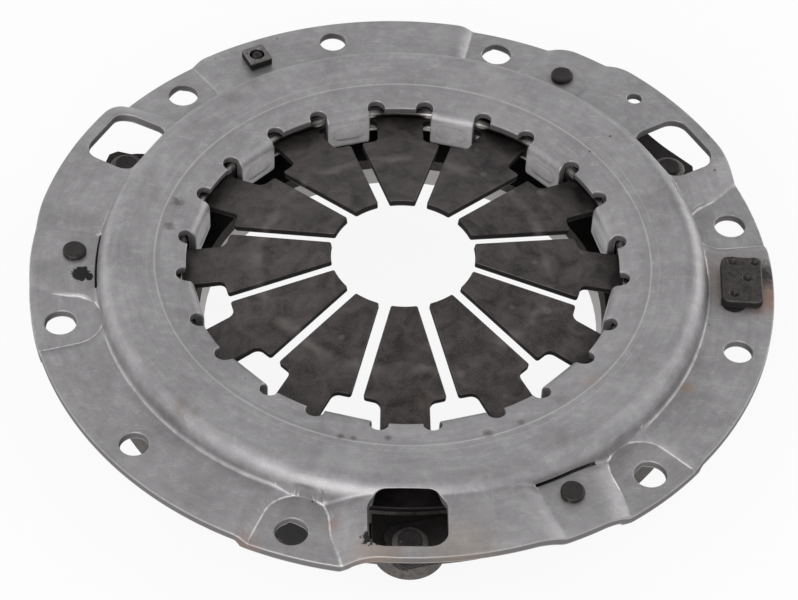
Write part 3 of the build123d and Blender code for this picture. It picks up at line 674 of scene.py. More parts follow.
# Bevelled edges lightened: wear, and a painted highlight along them
edge_wear_and_highlight = edge_wear_and_highlight_mask(tree, 0.25)
shade = node(tree, "ShaderNodeMix", {0: edge_wear_and_highlight, 6: shade, 7: colour("b0aeae")}, data_type="RGBA").outputs[2]

# Bends of the press: painted highlights, a bright line on the hollow side that is stronger towards the
# front, and a fainter one on the proud side. The sheared edge of the sheet is dull and dark.
bend = node(tree, "ShaderNodeAttribute", attribute_name="bend").outputs["Fac"]
broken = node(tree, "ShaderNodeMapRange", {0: patch, 1: 0.40, 2: 0.55, 3: 0.35, 4: 1.0})
hollow = node(tree, "ShaderNodeMapRange", {0: bend, 1: 0.52, 2: 0.85, 3: 0.0, 4: 0.95})
hollow = node(tree, "ShaderNodeMath", {0: hollow, 1: broken}, operation="MULTIPLY")
# The painted highlight on the hollow bends grows towards the front of the cover
highlight_towards_front = node(tree, "ShaderNodeSeparateXYZ", {0: place}).outputs["Y"]
highlight_towards_front = node(tree, "ShaderNodeMapRange", {0: highlight_towards_front, 1: 60.0, 2: -10.0, 3: 0.3, 4: 1.0})
hollow = node(tree, "ShaderNodeMath", {0: hollow, 1: highlight_towards_front}, operation="MULTIPLY")
shade = node(tree, "ShaderNodeMix", {0: hollow, 6: shade, 7: colour("e4e2e1")}, data_type="RGBA").outputs[2]
proud = node(tree, "ShaderNodeMapRange", {0: bend, 1: -0.2, 2: -0.8, 3: 0.0, 4: 0.35})
shade = node(tree, "ShaderNodeMix", {0: proud, 6: shade, 7: colour("bdbbba")}, data_type="RGBA").outputs[2]
cut = cut_wall(tree, 0.85)
shade = node(tree, "ShaderNodeMix", {0: cut, 6: shade, 7: colour("676464")}, data_type="RGBA").outputs[2]
rough = node(tree, "ShaderNodeMath", {0: cut, 1: 0.25, 2: rough}, operation="MULTIPLY_ADD")

# Stains: place on the rim or dome in mm, reach, colour, strength, raggedness. The first ones are
# heat tint round the large weight and rust film at the front edge, the near-black ones are spilt paint,
# except the round one at the large weight's lower-left, which is a painted shadow under it.
stains = ((97.0, -4.0, 13.5, "8a7668", 0.6, 0.5), (104.0, -10.0, 9.0, "96705a", 0.6, 0.6),
          # The near-black round blob at 94.6, -12.1 is a painted shadow under the large weight
          (104.5, -1.0, 7.0, "3a3536", 0.95, 0.4), (94.6, -12.1, 3.99, PAINT_AND_SHADOW, 1.0, 0.15),
          (-8.0, -104.5, 9.0, "a08a79", 0.45, 0.8), (14.0, -104.0, 13.0, "9a876f", 0.3, 0.9),
          (-19.8, -92.5, 3.2, "96705f", 0.35, 0.7), (-61.4, -58.5, 3.4, "7d746d", 0.5, 0.6),
          (-57.0, -61.0, 2.2, "7d746d", 0.4, 0.6), (78.8, -44.4, 3.0, "a3836c", 0.45, 0.6),
          (-42.2, -98.0, 5.0, "8d7a70", 0.5, 0.8), (41.4, -68.8, 3.0, "77726f", 0.45, 0.7),
          (22.0, -66.3, 2.0, "4c4746", 0.7, 0.6), (31.2, -62.3, 1.5, "5a5453", 0.6, 0.5),
          (-65.4, 19.9, 2.6, "575150", 0.7, 0.8), (-67.5, 10.5, 2.2, "5d5756", 0.65, 0.8),
          (-17.7, -67.9, 1.4, "4c4746", 0.7, 0.5), (-14.2, -68.5, 1.2, "4c4746", 0.6, 0.5),
          (-5.0, -68.1, 1.3, "4c4746", 0.7, 0.6), (30.0, 68.0, 6.0, "a5a19f", 0.5, 0.8),
          (-50.9, 62.6, 4.0, "6f6a69", 0.40, 0.9), (-45.1, 70.3, 3.0, "6f6a69", 0.35, 0.9),
          (-40.3, 73.0, 3.0, "736e6c", 0.30, 0.9), (33.0, 90.4, 3.5, "9a9492", 0.30, 0.8),
          (42.2, -53.7, 3.0, "5f5a59", 0.35, 0.9), (50.9, -47.4, 3.5, "a08b80", 0.40, 0.8),
          (-92.2, -4.3, 2.6, PAINT_AND_SHADOW, 1.0, 0.5), (-89.7, -5.3, 1.3, PAINT_AND_SHADOW, 1.0, 0.6),
          (-9.8, -100.2, 2.4, PAINT_AND_SHADOW, 1.0, 0.9), (-7.6, -101.9, 1.2, PAINT_AND_SHADOW, 0.9, 0.9))
ragged = node(tree, "ShaderNodeTexNoise", {"Vector": place, "Scale": 0.9, "Detail": 4.0, "Roughness": 0.7})
paint_and_shadow = None
for x, y, reach, code, strength, rag in stains:
    away = node(tree, "ShaderNodeVectorMath", {0: plan, 1: (x, y, 0.0)},
                operation="DISTANCE").outputs["Value"]
    away = node(tree, "ShaderNodeMath", {0: away, 1: 1.0 / reach}, operation="MULTIPLY")
    away = node(tree, "ShaderNodeMath", {0: ragged, 1: rag * 2.2, 2: away}, operation="MULTIPLY_ADD")
    sharp = 0.12 if strength > 0.8 and reach < 4 else 0.8
    outer = 1.0 + rag * 1.1
    mask = node(tree, "ShaderNodeMapRange", {0: away, 1: outer, 2: outer - sharp, 3: 0.0, 4: strength})
    shade = node(tree, "ShaderNodeMix", {0: mask, 6: shade, 7: colour(code)}, data_type="RGBA").outputs[2]
    # The spilt paint and the painted shadow are dull and not metal
    if code == PAINT_AND_SHADOW:
        if paint_and_shadow is not None:
            mask = node(tree, "ShaderNodeMath", {0: paint_and_shadow, 1: mask}, operation="MAXIMUM")
        paint_and_shadow = mask
metal = node(tree, "ShaderNodeMath", {0: 0.72, 1: paint_and_shadow}, operation="SUBTRACT", use_clamp=True)
rough = node(tree, "ShaderNodeMath", {0: paint_and_shadow, 1: 0.35, 2: rough}, operation="MULTIPLY_ADD")
height = node(tree, "ShaderNodeMath", {0: grit, 1: 0.6}, operation="MULTIPLY")
height = node(tree, "ShaderNodeMath", {0: streak, 1: 0.8, 2: height}, operation="MULTIPLY_ADD")
height = node(tree, "ShaderNodeMath", {0: patch, 1: 1.5, 2: height}, operation="MULTIPLY_ADD")
height = node(tree, "ShaderNodeMath", {0: height, 1: pit}, operation="SUBTRACT")
bump = node(tree, "ShaderNodeBump", {"Height": height, "Strength": 0.35, "Distance": 0.00006})
feed(skin, {"Base Color": shade, "Metallic": metal, "Roughness": rough, "Normal": bump})
cover.data.materials.append(steel)
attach(cover, "cover_assembly")
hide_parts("cover")

# Diaphragm spring: a cone of heat-treated spring steel, cut into twelve fingers that stand up to the
# release bearing. It hangs between the two wire rings. Dark brown-black, cloudy from the quench oil.
SPRING_TIP, SPRING_TIP_TOP, SPRING_OUTER, SPRING_THICK = 21.0, 11.5, 84.2, 2.2
SPRING_CONE, SPRING_BEVEL = math.radians(10.1), 0.28
SLOT_HALF, ROOT_IN, ROOT_OUT, ROOT_HALF_IN, ROOT_HALF_OUT = 1.75, 51.3, 63.3, 6.7, 9.7


def filleted(points, corners, step=0.5):
    """Broken line round through its points, with a round corner of the given radius at each."""
    made, points = [], np.array(points, float)
    for i, radius in enumerate(corners):
        here, before, after = points[i], points[i - 1], points[(i + 1) % len(points)]
        back, on = ((other - here) / np.linalg.norm(other - here) for other in (before, after))
        half = math.acos(max(-1, min(1, float(back @ on)))) / 2
        if radius <= 0 or half > 1.55:
            made.append(here)
            continue
        reach = radius / math.tan(half)
        centre = here + (back + on) / np.linalg.norm(back + on) * radius / math.sin(half)
        first, last = here + back * reach - centre, here + on * reach - centre
        a0, a1 = math.atan2(first[1], first[0]), math.atan2(last[1], last[0])
        sweep = (a1 - a0 + math.pi) % (2 * math.pi) - math.pi
        for t in np.linspace(a0, a0 + sweep, max(4, int(abs(sweep) * radius / step) + 2)):
            made.append(centre + radius * np.array([math.cos(t), math.sin(t)]))
    return np.array(made)


def spring_place(u, v, depth):
    """Place of the spring's points: the blank stood up as a cone."""
    r, a = np.hypot(u, v), np.arctan2(v, u)
    top = SPRING_TIP_TOP - (r - SPRING_TIP) * math.tan(SPRING_CONE)
    down = depth * SPRING_THICK
    r = r - down * math.sin(SPRING_CONE)
    return np.stack([r * np.cos(a), r * np.sin(a), top - down * math.cos(SPRING_CONE)], -1)


half_tip = math.asin(SLOT_HALF / SPRING_TIP)
tip_x = SPRING_TIP * math.cos(half_tip)
lower = [(tip_x, -SLOT_HALF), (ROOT_IN, -SLOT_HALF), (ROOT_IN, -ROOT_HALF_IN), (ROOT_OUT, -ROOT_HALF_OUT)]
slot = lower + [(x, -y) for x, y in lower[::-1]]
between = np.linspace(half_tip, math.radians(TAB_STEP) - half_tip, 9)[1:-1]
tips = [(SPRING_TIP * math.cos(t), SPRING_TIP * math.sin(t)) for t in between]
corners = [0, 0.6, 0.8, 2.4, 2.4, 2.4, 2.4, 0.8, 0.6, 0]
closed = filleted([spun(np.array(tips[-1]), -TAB_STEP)] + slot + tips[:1], corners)[1:-1]
unit = np.concatenate([closed, np.array(tips)])
hole = np.concatenate([spun(unit, TAB_TURN + TAB_STEP * k) for k in range(TABS)])
circles = np.concatenate([np.arange(22.5, 64, 2.6), np.arange(64.6, 84, 1.6)])
fingers = [ring(0, 0, s, max(60, int(s * 2.6))) for s in circles]
diaphragm = plate("diaphragm_fingers", [ring(0, 0, SPRING_OUTER, 420), divided(hole, 1.0)[::-1]],
                  spring_place, SPRING_THICK, SPRING_BEVEL, np.concatenate(fingers))


def mottled(name, low, high, size, roughness, metallic, relief, spots=None, edge_wear_and_highlight_amount=0.22):
    """Metal finish: clouds of a size in mm between two colours, grain, relief in mm and worn edges with a
    painted highlight.
    """
    made = bpy.data.materials.new(name)
    made.use_nodes = True
    tree = made.node_tree
    skin = tree.nodes["Principled BSDF"]
    spot = in_mm(tree)
    cloud = node(tree, "ShaderNodeTexNoise",
                 {"Vector": spot, "Scale": 1.0 / size, "Detail": 5.0, "Roughness": 0.62, "Distortion": 0.6})
    grain = node(tree, "ShaderNodeTexNoise",
                 {"Vector": spot, "Scale": 2.2, "Detail": 3.0, "Roughness": 0.7})
    mixed = node(tree, "ShaderNodeMath", {0: grain, 1: 0.35}, operation="MULTIPLY")
    mixed = node(tree, "ShaderNodeMath", {0: cloud, 1: 0.65, 2: mixed}, operation="MULTIPLY_ADD")
    ramp = node(tree, "ShaderNodeValToRGB", {"Fac": mixed})
    for stop, at, code in zip(ramp.color_ramp.elements, (0.36, 0.64), (low, high)):
        stop.position, stop.color = at, colour(code)
    shade = ramp.outputs["Color"]
    for code, amount, wide in spots or ():
        dots = node(tree, "ShaderNodeTexVoronoi", {"Vector": spot, "Scale": 1.0 / wide})
        kind = node(tree, "ShaderNodeSeparateColor", {0: dots.outputs["Color"]}).outputs[1]
        kind = node(tree, "ShaderNodeMapRange", {0: kind, 1: 0.7, 2: 1.0, 3: 0.0, 4: 0.3})
        warped = node(tree, "ShaderNodeMath", {0: grain, 1: 0.25, 2: -0.12}, operation="MULTIPLY_ADD")
        warped = node(tree, "ShaderNodeMath", {0: warped, 1: dots.outputs["Distance"]}, operation="ADD")
        inside = node(tree, "ShaderNodeMath", {0: kind, 1: warped}, operation="SUBTRACT")
        inside = node(tree, "ShaderNodeMapRange", {0: inside, 1: 0.0, 2: 0.12, 3: 0.0, 4: amount})
        shade = node(tree, "ShaderNodeMix", {0: inside, 6: shade, 7: colour(code)},
                     data_type="RGBA").outputs[2]
    # Bevelled edges lightened: wear, and a painted highlight along them
    edge_wear_and_highlight = edge_wear_and_highlight_mask(tree, edge_wear_and_highlight_amount)
    shade = node(tree, "ShaderNodeMix", {0: edge_wear_and_highlight, 6: shade, 7: colour("8a8584")},
                 data_type="RGBA").outputs[2]
    cut = cut_wall(tree, 0.9)
    shade = node(tree, "ShaderNodeMix", {0: cut, 6: shade, 7: colour("141212")},
                 data_type="RGBA").outputs[2]
    matt = node(tree, "ShaderNodeMapRange",
                {0: mixed, 1: 0.35, 2: 0.65, 3: roughness - 0.07, 4: roughness + 0.1})
    matt = node(tree, "ShaderNodeMath", {0: cut, 1: 0.4, 2: matt}, operation="MULTIPLY_ADD")
    bump = node(tree, "ShaderNodeBump", {"Height": mixed, "Strength": 0.5, "Distance": relief * mm})
    feed(skin, {"Base Color": shade, "Metallic": metallic, "Roughness": matt, "Normal": bump})
    return made


spring_steel = mottled("oil_quenched_spring_steel", "292625", "575150", 6.0, 0.42, 0.6, 0.12,
                       spots=(("211e1e", 0.6, 13.0), ("65544c", 0.4, 17.0), ("77726f", 0.35, 6.0)),
                       edge_wear_and_highlight_amount=0.04)
tree = spring_steel.node_tree
skin = tree.nodes["Principled BSDF"]
shade = skin.inputs["Base Color"].links[0].from_socket
place, radius = from_axis(tree, in_mm(tree))
wavy = node(tree, "ShaderNodeTexNoise", {"Vector": place, "Scale": 0.09, "Detail": 2.0})
shifted = node(tree, "ShaderNodeMath", {0: wavy, 1: 9.0, 2: radius}, operation="MULTIPLY_ADD")
band = node(tree, "ShaderNodeMath", {0: shifted, 1: 47.0}, operation="SUBTRACT")
band = node(tree, "ShaderNodeMath", {0: band}, operation="ABSOLUTE")
band = node(tree, "ShaderNodeMapRange", {0: band, 1: 2.6, 2: 0.4, 3: 0.0, 4: 1.0})
uneven = node(tree, "ShaderNodeMapRange", {0: wavy, 1: 0.42, 2: 0.6, 3: 0.0, 4: 0.32})
band = node(tree, "ShaderNodeMath", {0: band, 1: uneven}, operation="MULTIPLY")
shade = node(tree, "ShaderNodeMix", {0: band, 6: shade, 7: colour("86807c")}, data_type="RGBA").outputs[2]
# Painted shade: the fingers darken outward towards their roots, under the cover and its tabs
root_shade = node(tree, "ShaderNodeMath", {0: wavy, 1: 22.0, 2: radius}, operation="MULTIPLY_ADD")
root_shade = node(tree, "ShaderNodeMapRange", {0: root_shade, 1: 66.0, 2: 92.0, 3: 0.0, 4: 0.8})
shade = node(tree, "ShaderNodeMix", {0: root_shade, 6: shade, 7: colour("1a1717")}, data_type="RGBA").outputs[2]
feed(skin, {"Base Color": shade})
diaphragm.data.materials.append(spring_steel)
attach(diaphragm, "cover_assembly")
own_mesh(diaphragm)
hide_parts("diaphragm_spring")

# Fulcrum rings: two loops of bright drawn wire, one above and one below the spring, butted at the ends
# and held in the bends of the twelve tabs. Their path is a circle, so a curve tree draws them.
# Painted shade darkens them between the relief notches, where the cover lies close.
WIRE_CIRCLE, WIRE_RADIUS = 64.5, 1.5


def recipe(name, *sockets):
    """Geometry tree with the given inputs, and its group input."""
    tree = bpy.data.node_groups.new(name, "GeometryNodeTree")
    for label, kind in (("Geometry", "Geometry"),) + sockets:
        tree.interface.new_socket(label, in_out="INPUT", socket_type="NodeSocket" + kind)
    tree.interface.new_socket("Geometry", in_out="OUTPUT", socket_type="NodeSocketGeometry")
    return tree, node(tree, "NodeGroupInput")


def coated(tree, ask, shape):
    """Ends a geometry tree: its shape is made real and given its finish."""
    real = node(tree, "GeometryNodeRealizeInstances", {"Geometry": shape})
    coat = node(tree, "GeometryNodeSetMaterial", {"Geometry": real, "Material": ask.outputs["Finish"]})
    node(tree, "NodeGroupOutput", {"Geometry": coat})


wires, ask = recipe("wire_loop", ("Loop Radius", "Float"), ("Wire Radius", "Float"), ("Height", "Float"),
                    ("Finish", "Material"))
loop = node(wires, "GeometryNodeCurveArc", {"Radius": ask.outputs["Loop Radius"], "Resolution": 240},
            mode="RADIUS")
feed(loop, {"Start Angle": math.radians(77.0), "Sweep Angle": math.radians(359.7)})
lift = node(wires, "ShaderNodeCombineXYZ", {"Z": ask.outputs["Height"]})
placed = node(wires, "GeometryNodeTransform", {"Geometry": loop, "Translation": lift})
section = node(wires, "GeometryNodeCurvePrimitiveCircle",
               {"Radius": ask.outputs["Wire Radius"], "Resolution": 16}, mode="RADIUS")
drawn_wire = node(wires, "GeometryNodeCurveToMesh",
                  {"Curve": placed, "Profile Curve": section, "Fill Caps": True})
coated(wires, ask, node(wires, "GeometryNodeSetShadeSmooth", {"Geometry": drawn_wire}))


def grown(name, tree, values, start=None):
    """Plain mesh piece from a geometry tree with its inputs set by name."""
    base = start or added(name + "_start", bpy.data.meshes.new(name + "_start"))
    modifier = base.modifiers.new("grow", "NODES")
    modifier.node_group = tree
    for socket in tree.interface.items_tree:
        if socket.in_out == "INPUT" and socket.name in values:
            modifier[socket.identifier] = values[socket.name]
    base.update_tag()
    bpy.context.view_layer.update()
    shown = base.evaluated_get(bpy.context.evaluated_depsgraph_get())
    made = added(name, bpy.data.meshes.new_from_object(shown))
    made.data.name = name
    bpy.data.objects.remove(base)
    return made


bright_wire = mottled("bright_drawn_wire", "7a7674", "a5a19e", 3.0, 0.3, 1.0, 0.02)
tree = bright_wire.node_tree
skin = tree.nodes["Principled BSDF"]
polished = skin.inputs["Base Color"].links[0].from_socket
# Painted shade: the wire is darkened between the relief notches, under the cover's edge
spot = node(tree, "ShaderNodeSeparateXYZ", {0: node(tree, "ShaderNodeTexCoord").outputs["Object"]})
around = node(tree, "ShaderNodeMath", {0: spot.outputs["Y"], 1: spot.outputs["X"]}, operation="ARCTAN2")
around = node(tree, "ShaderNodeMath", {0: around, 1: 12.0}, operation="MULTIPLY")
around = node(tree, "ShaderNodeMath", {0: around}, operation="COSINE")
between = node(tree, "ShaderNodeMapRange", {0: around, 1: -0.1, 2: 0.5, 3: 0.0, 4: 0.92})
wire_with_painted_shade = node(tree, "ShaderNodeMix", {0: between, 6: polished, 7: colour("1f1c1b")},
             data_type="RGBA").outputs[2]
feed(skin, {"Base Color": wire_with_painted_shade})
for name, height in (("fulcrum_ring_upper", 5.314), ("fulcrum_ring_lower", -0.041)):
    sizes = {"Loop Radius": WIRE_CIRCLE * mm, "Wire Radius": WIRE_RADIUS * mm, "Height": height * mm}
    wire = grown(name + "_wire", wires, {"Finish": bright_wire} | sizes)
    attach(wire, "cover_assembly")
    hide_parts(name)

# Pressure plate: grey cast iron, rough from the sand mould, with the friction face and the bore's band
# turned bright. Its upward-facing faces are darkened as painted shade under the cover. It keeps its CAD
# shape.
FACE_TOP, BORE_TOP, BORE_EDGE = -17.9, -12.72, 59.2
iron = mottled("sand_cast_iron", "403d3b", "6d6966", 1.4, 0.74, 0.55, 0.4,
               spots=(("2a2827", 0.7, 2.4), ("7a6556", 0.2, 9.0)))
tree = iron.node_tree
skin = tree.nodes["Principled BSDF"]
old = skin.inputs["Base Color"].links[0].from_socket
place = in_mm(tree)
_, radius = from_axis(tree, place)
level = node(tree, "ShaderNodeSeparateXYZ", {0: place}).outputs["Z"]
face = node(tree, "ShaderNodeMath", {0: level, 1: FACE_TOP}, operation="LESS_THAN")
low = node(tree, "ShaderNodeMath", {0: level, 1: BORE_TOP}, operation="LESS_THAN")
bore = node(tree, "ShaderNodeMath", {0: radius, 1: BORE_EDGE}, operation="LESS_THAN")
bore = node(tree, "ShaderNodeMath", {0: bore, 1: low}, operation="MULTIPLY")
turned = node(tree, "ShaderNodeMath", {0: face, 1: bore}, operation="MAXIMUM")
groove = node(tree, "ShaderNodeMath", {0: radius, 1: 9.0}, operation="MULTIPLY")
groove = node(tree, "ShaderNodeMath", {0: level, 1: 7.0, 2: groove}, operation="MULTIPLY_ADD")
groove = node(tree, "ShaderNodeMath", {0: groove}, operation="SINE")
tint = node(tree, "ShaderNodeValToRGB", {"Fac": groove})
for stop, code in zip(tint.color_ramp.elements, ("a5a2a0", "bcb9b7")):
    stop.color = colour(code)
both = node(tree, "ShaderNodeMix", {0: turned, 6: old, 7: tint}, data_type="RGBA").outputs[2]
# Painted shade: faces that look up, under the cover, are darkened
outward = node(tree, "ShaderNodeNewGeometry").outputs["Normal"]
facing = node(tree, "ShaderNodeSeparateXYZ", {0: outward}).outputs["Z"]
shaded_upward = node(tree, "ShaderNodeMapRange", {0: facing, 1: 0.3, 2: 0.8, 3: 0.0, 4: 0.85})
both = node(tree, "ShaderNodeMix", {0: shaded_upward, 6: both, 7: colour("1e1c1b")}, data_type="RGBA").outputs[2]
# Painted shade: a dark ragged patch on the casting at the front-left, seen through a bolt hole
shade_blob = node(tree, "ShaderNodeVectorMath", {0: place, 1: (-30.8, -85.3, -9.0)},
            operation="DISTANCE").outputs["Value"]
ragged = node(tree, "ShaderNodeTexNoise", {"Vector": place, "Scale": 0.5, "Detail": 4.0, "Roughness": 0.7})
shade_blob = node(tree, "ShaderNodeMath", {0: ragged, 1: 7.0, 2: shade_blob}, operation="MULTIPLY_ADD")
shade_blob = node(tree, "ShaderNodeMapRange", {0: shade_blob, 1: 12.5, 2: 11.5, 3: 0.0, 4: 0.95})
both = node(tree, "ShaderNodeMix", {0: shade_blob, 6: both, 7: colour("171515")}, data_type="RGBA").outputs[2]
node_rough = skin.inputs["Roughness"].links[0].from_socket
sheen = node(tree, "ShaderNodeMix", {0: turned, 2: node_rough, 3: 0.38}, data_type="FLOAT")
feed(skin, {"Base Color": both, "Roughness": sheen})
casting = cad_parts["pressure_plate"]
casting.data.materials.clear()
casting.data.materials.append(iron)

# Drive straps: three packs of three spring steel leaves, from each lug up to the underside of its seat
# on the cover. Blackened, with sheared edges.
STRAP_LONG = 2 * RIVET_CIRCLE * math.sin(math.radians((SEAT_TURN - LUG_TURN) / 2))
LEAF, LEAF_LOW, LEAF_RISE, LEAF_FLAT, LEAF_BEVEL, LEAF_HOLE = 0.7, -3.87, 5.17, 5.5, 0.1, 2.55
strap_steel = mottled("blackened_strap_steel", "2a2726", "3d3938", 4.0, 0.45, 0.7, 0.05)
ends = [(-5.9, -4.8), (-3.9, -6.8), (STRAP_LONG + 3.9, -6.8), (STRAP_LONG + 5.9, -4.8)]
rim = divided(filleted(ends + [(x, -y) for x, y in ends[::-1]], [0.6] * 8), 1.2)
holes = [ring(x, 0, LEAF_HOLE, 20, True) for x in (0, STRAP_LONG)]
u, v = np.meshgrid(np.arange(-5.0, STRAP_LONG + 5.5, 1.3), np.linspace(-5.6, 5.6, 7))
leaf_grid = np.stack([u.ravel(), v.ravel()], 1)
for n, window in enumerate(WINDOWS, start=1):
    lug, seat = (np.radians(window + turn) for turn in (LUG_TURN, SEAT_TURN))
    first, last = (RIVET_CIRCLE * np.array([math.cos(a), math.sin(a)]) for a in (lug, seat))
    along = (last - first) / np.linalg.norm(last - first)
    across = np.array([-along[1], along[0]])
    for leaf in range(3):
        def strap_place(u, v, depth, low=LEAF_LOW + LEAF * leaf, first=first, along=along, across=across):
            """Place of a leaf's points: flat at both ends, with a soft step up between them."""
            t = np.clip((u - LEAF_FLAT) / (STRAP_LONG - 2 * LEAF_FLAT), 0, 1)
            z = low + LEAF_RISE * (t * t * (3 - 2 * t)) + LEAF * (1 - depth)
            spot = first + u[:, None] * along + v[:, None] * across
            return np.stack([spot[:, 0], spot[:, 1], z], -1)

        strap = plate(f"strap_{n}_blade_{leaf + 1}", [rim] + holes, strap_place, LEAF, LEAF_BEVEL,
                      leaf_grid)
        strap.data.materials.append(strap_steel)
        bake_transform(strap)
        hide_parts(f"strap_{n}_leaf_{leaf + 1}")

# Rivets: black phosphated steel. Each is a turned blank, put where the tree's points are, with one
# head formed by the press, so its top is a little dished and its rim is round.
riveting, ask = recipe("rivets", ("Blank", "Object"), ("Turn", "Float"), ("Finish", "Material"))
blank = node(riveting, "GeometryNodeObjectInfo", {"Object": ask.outputs["Blank"]})
order = node(riveting, "GeometryNodeInputIndex")
spin = node(riveting, "ShaderNodeMath", {0: order, 1: ask.outputs["Turn"]}, operation="MULTIPLY")
facing = node(riveting, "ShaderNodeCombineXYZ", {"Z": spin})
spots = node(riveting, "GeometryNodeMeshToPoints", {"Mesh": ask.outputs["Geometry"]})
many = node(riveting, "GeometryNodeInstanceOnPoints",
            {"Points": spots, "Instance": blank.outputs["Geometry"], "Rotation": facing})
coated(riveting, ask, many)


def turned_blank(name, outline, steps=56, wobble=0.0):
    """Turned piece from (radius, height) points, bottom centre first, a little out of round if asked."""
    verts, faces, rows = [], [], []
    for r, z in outline:
        first = len(verts)
        if r == 0:
            verts.append((0, 0, z * mm))
            rows.append([first] * steps)
            continue
        for k in range(steps):
            a = 2 * math.pi * k / steps
            away = r * (1 + wobble * math.sin(2 * a + 0.6) + wobble * 0.6 * math.sin(3 * a + 1.9))
            verts.append((away * math.cos(a) * mm, away * math.sin(a) * mm, z * mm))
        rows.append(list(range(first, first + steps)))
    for low, high in zip(rows, rows[1:]):
        for k in range(steps):
            face = [low[k], low[(k + 1) % steps], high[(k + 1) % steps], high[k]]
            faces.append(list(dict.fromkeys(face)))
    if outline[0][0] > 0:
        for k in range(steps):
            faces.append([rows[-1][k], rows[-1][(k + 1) % steps], rows[0][(k + 1) % steps], rows[0][k]])
    mesh = bpy.data.meshes.new(name)
    mesh.from_pydata(verts, [], faces)
    mesh.shade_smooth()
    mesh.set_sharp_from_angle(angle=math.radians(45))
    return added(name, mesh)


def head(radius, low, high, dish, corner=0.6):
    """Outline of a formed head, from its seat to its centre."""
    turn = np.linspace(0, math.pi / 2, 7)
    rim = [(radius - corner + corner * math.cos(t), high - corner + corner * math.sin(t)) for t in turn]
    crown = [(radius * k, high + dish * (0.35 * k - 0.35 if k < 0.55 else 0.0)) for k in (0.72, 0.5, 0.25)]
    return [(radius * 0.97, low)] + rim + crown + [(0, high - dish * 0.35)]


def foot(radius, low, high):
    """Outline of a preformed head below, from its centre to its seat."""
    edge = [(radius - 0.8, low), (radius - 0.25, low + 0.25), (radius, low + 0.7)]
    return [(0, low)] + edge + [(radius, high - 0.1), (radius - 0.1, high)]


def places(name, points):
    """Mesh of bare points in mm."""
    mesh = bpy.data.meshes.new(name)
    mesh.from_pydata([(x * mm, y * mm, 0) for x, y in points], [], [])
    return added(name, mesh)


def on_circle(radius, turns):
    """Points on a circle round the axis."""
    return [(radius * math.cos(math.radians(a)), radius * math.sin(math.radians(a))) for a in turns]


LOWER_HEAD, SHANK = 4.3, 2.5
# The light spots on the black finish of the rivets and pins are painted glints
black = mottled("black_phosphated_steel", "181515", "352f2e", 1.1, 0.45, 0.4, 0.25,
                spots=(("75706e", 0.5, 1.8),), edge_wear_and_highlight_amount=0.08)
black_plate = mottled("black_stamped_steel", "1e1b1b", "484241", 1.6, 0.45, 0.4, 0.2,
                      spots=(("655f5d", 0.4, 2.6),), edge_wear_and_highlight_amount=0.08)
nut_steel = mottled("bare_nut_steel", "4f4c4b", "868382", 1.8, 0.45, 0.7, 0.15,
                    spots=(("2a2727", 0.8, 3.4),))
washer_iron = mottled("dull_washer_steel", "5c5856", "7a7673", 1.5, 0.5, 0.7, 0.06)
lug_points, seat_points = (on_circle(RIVET_CIRCLE, [window + turn for window in WINDOWS])
                           for turn in (LUG_TURN, SEAT_TURN))
cover_rivet = foot(LOWER_HEAD, -0.2, 1.28) + [(SHANK, 1.29), (SHANK, 6.19)]
cover_rivet += head(3.4, 6.21, 7.9, 0.5, 0.75)
lug_rivet = foot(LOWER_HEAD, -11.0, -9.52) + [(SHANK, -9.51), (SHANK, -0.95)]
lug_rivet += head(3.3, -0.94, 0.26, 0.6, 0.4)
washer = [(2.55, -1.74), (4.7, -1.74), (4.9, -1.6), (4.9, -1.1), (4.75, -0.96), (2.7, -0.94), (2.55, -1.0)]
sets = (("cover_rivet", "cover_assembly", seat_points, black, "black_rivet", 0.02, cover_rivet),
        ("lug_rivet", "pressure_plate", lug_points, black, "black_rivet", 0.015, lug_rivet),
        ("lug_washer", "pressure_plate", lug_points, washer_iron, "black_rivet", 0.0, washer))
for name, body, points, finish, slot, wobble, outline in sets:
    blank = turned_blank(name + "_blank", outline, wobble=wobble)
    values = {"Blank": blank, "Turn": 2.1, "Finish": finish}
    riveted = grown(name + "s", riveting, values, places(name + "_places", points))
    bpy.data.objects.remove(blank)
    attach(riveted, body)
    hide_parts(*[f"{name}_{k}" for k in (1, 2, 3)])

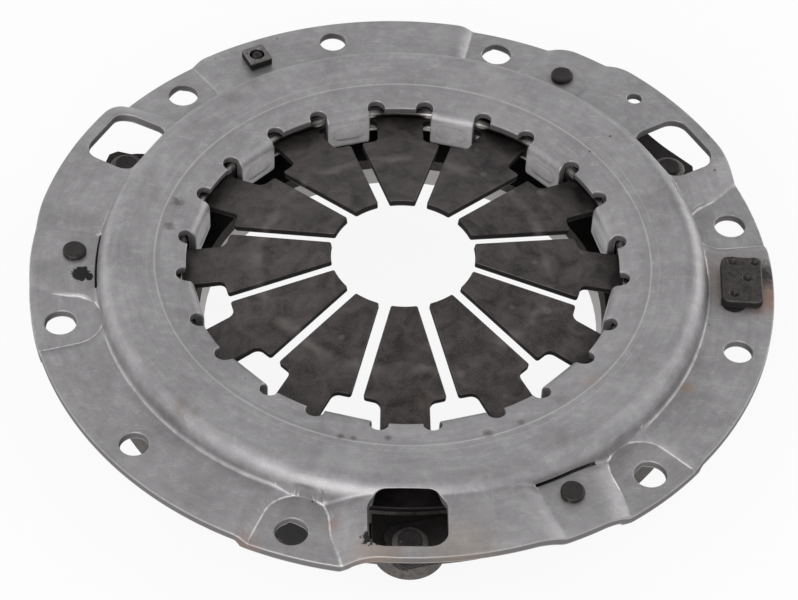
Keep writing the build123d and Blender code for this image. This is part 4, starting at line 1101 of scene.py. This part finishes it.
# Balance weights: a stamped black plate with four punch marks, and a small square nut, each held
# by one rivet whose end is sunk in it. The nut's is crushed and shows in its hole.
WEIGHT_SEAT, WEIGHT_BEVEL = DOWEL + SHEET, 0.45
DENT, DENT_REACH, LIP, LIP_AT, LIP_WIDE = 1.4, 1.6, 0.2, 1.75, 0.3
NUT_HOLE, NUT_PIN, PIN = 2.3, 1.8, 2.0
PUNCHED = ((-2.5, 6.75), (3.9, 6.9), (1.55, 0.6), (-2.45, -5.8))
for name, turn, size, thick, corner, marks in (("large", WEIGHT_TURNS[0], (11.7, 17.5), 3.0, 2.2, PUNCHED),
                                               ("small", WEIGHT_TURNS[1], (7.2, 7.2), 3.4, 0.5, ())):
    a = math.radians(turn)
    out, side = np.array([math.cos(a), math.sin(a)]), np.array([-math.sin(a), math.cos(a)])
    middle, top = WEIGHT_CIRCLE * out, WEIGHT_SEAT + thick

    def weight_place(u, v, depth, thick=thick, marks=marks, middle=middle, out=out, side=side):
        """Place of a weight's points, with its punch marks and the lips round them."""
        spot = middle + u[:, None] * out + v[:, None] * side
        z = WEIGHT_SEAT + thick * (1 - depth)
        for x, y in marks:
            away = np.hypot(u - x, v - y)
            lip = LIP * np.exp(-((away - LIP_AT) / LIP_WIDE) ** 2)
            z = z - (DENT * (1 - smooth(away / DENT_REACH)) - lip) * (depth < 0.5)
        return np.stack([spot[:, 0], spot[:, 1], z], -1)

    w, h = size
    rim = divided(rounded(-w / 2, w / 2, -h / 2, h / 2, corner, 10), 0.6)
    rings = [ring(x, y, r, 22) for x, y in marks for r in (0.25, 0.55, 0.85, 1.1, 1.35, 1.6, 1.9)]
    rings = [c for c in rings if np.all(np.abs(c).max(0) < np.array(size) / 2 - 0.8)]
    u, v = np.meshgrid(np.arange(-w / 2 + 1, w / 2 - 0.5, 0.6), np.arange(-h / 2 + 1, h / 2 - 0.5, 0.6))
    hole = [] if name == "large" else [ring(0, 0, NUT_HOLE, 28, True)]
    weight = plate(f"balance_plate_{name}", [rim] + hole, weight_place, thick, WEIGHT_BEVEL,
                   np.concatenate(rings + [np.stack([u.ravel(), v.ravel()], 1)]))
    weight.data.materials.append(black_plate if name == "large" else nut_steel)
    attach(weight, "cover_assembly")
    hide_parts(f"balance_weight_{name}")
    outline = foot(LOWER_HEAD, 1.4, 1.88)[:2] + [(LOWER_HEAD, 1.88)]
    if name == "large":
        outline += [(PIN, 1.89), (PIN, top - 1.1), (0, top - 1.1)]
    else:
        outline += [(NUT_PIN, 1.89), (NUT_PIN, top - 1.0), (1.5, top - 0.7), (1.15, top - 0.1)]
        outline += [(0.75, top), (0.5, top - 0.4), (0, top - 0.6)]
    blank = turned_blank(name + "_pin", outline, wobble=0.02 if name == "large" else 0.07)
    values = {"Blank": blank, "Turn": 0.0, "Finish": black}
    pin = grown(f"balance_pin_{name}", riveting, values, places(name + "_place", [tuple(middle)]))
    bpy.data.objects.remove(blank)
    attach(pin, "cover_assembly")
    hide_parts(f"balance_rivet_{name}")
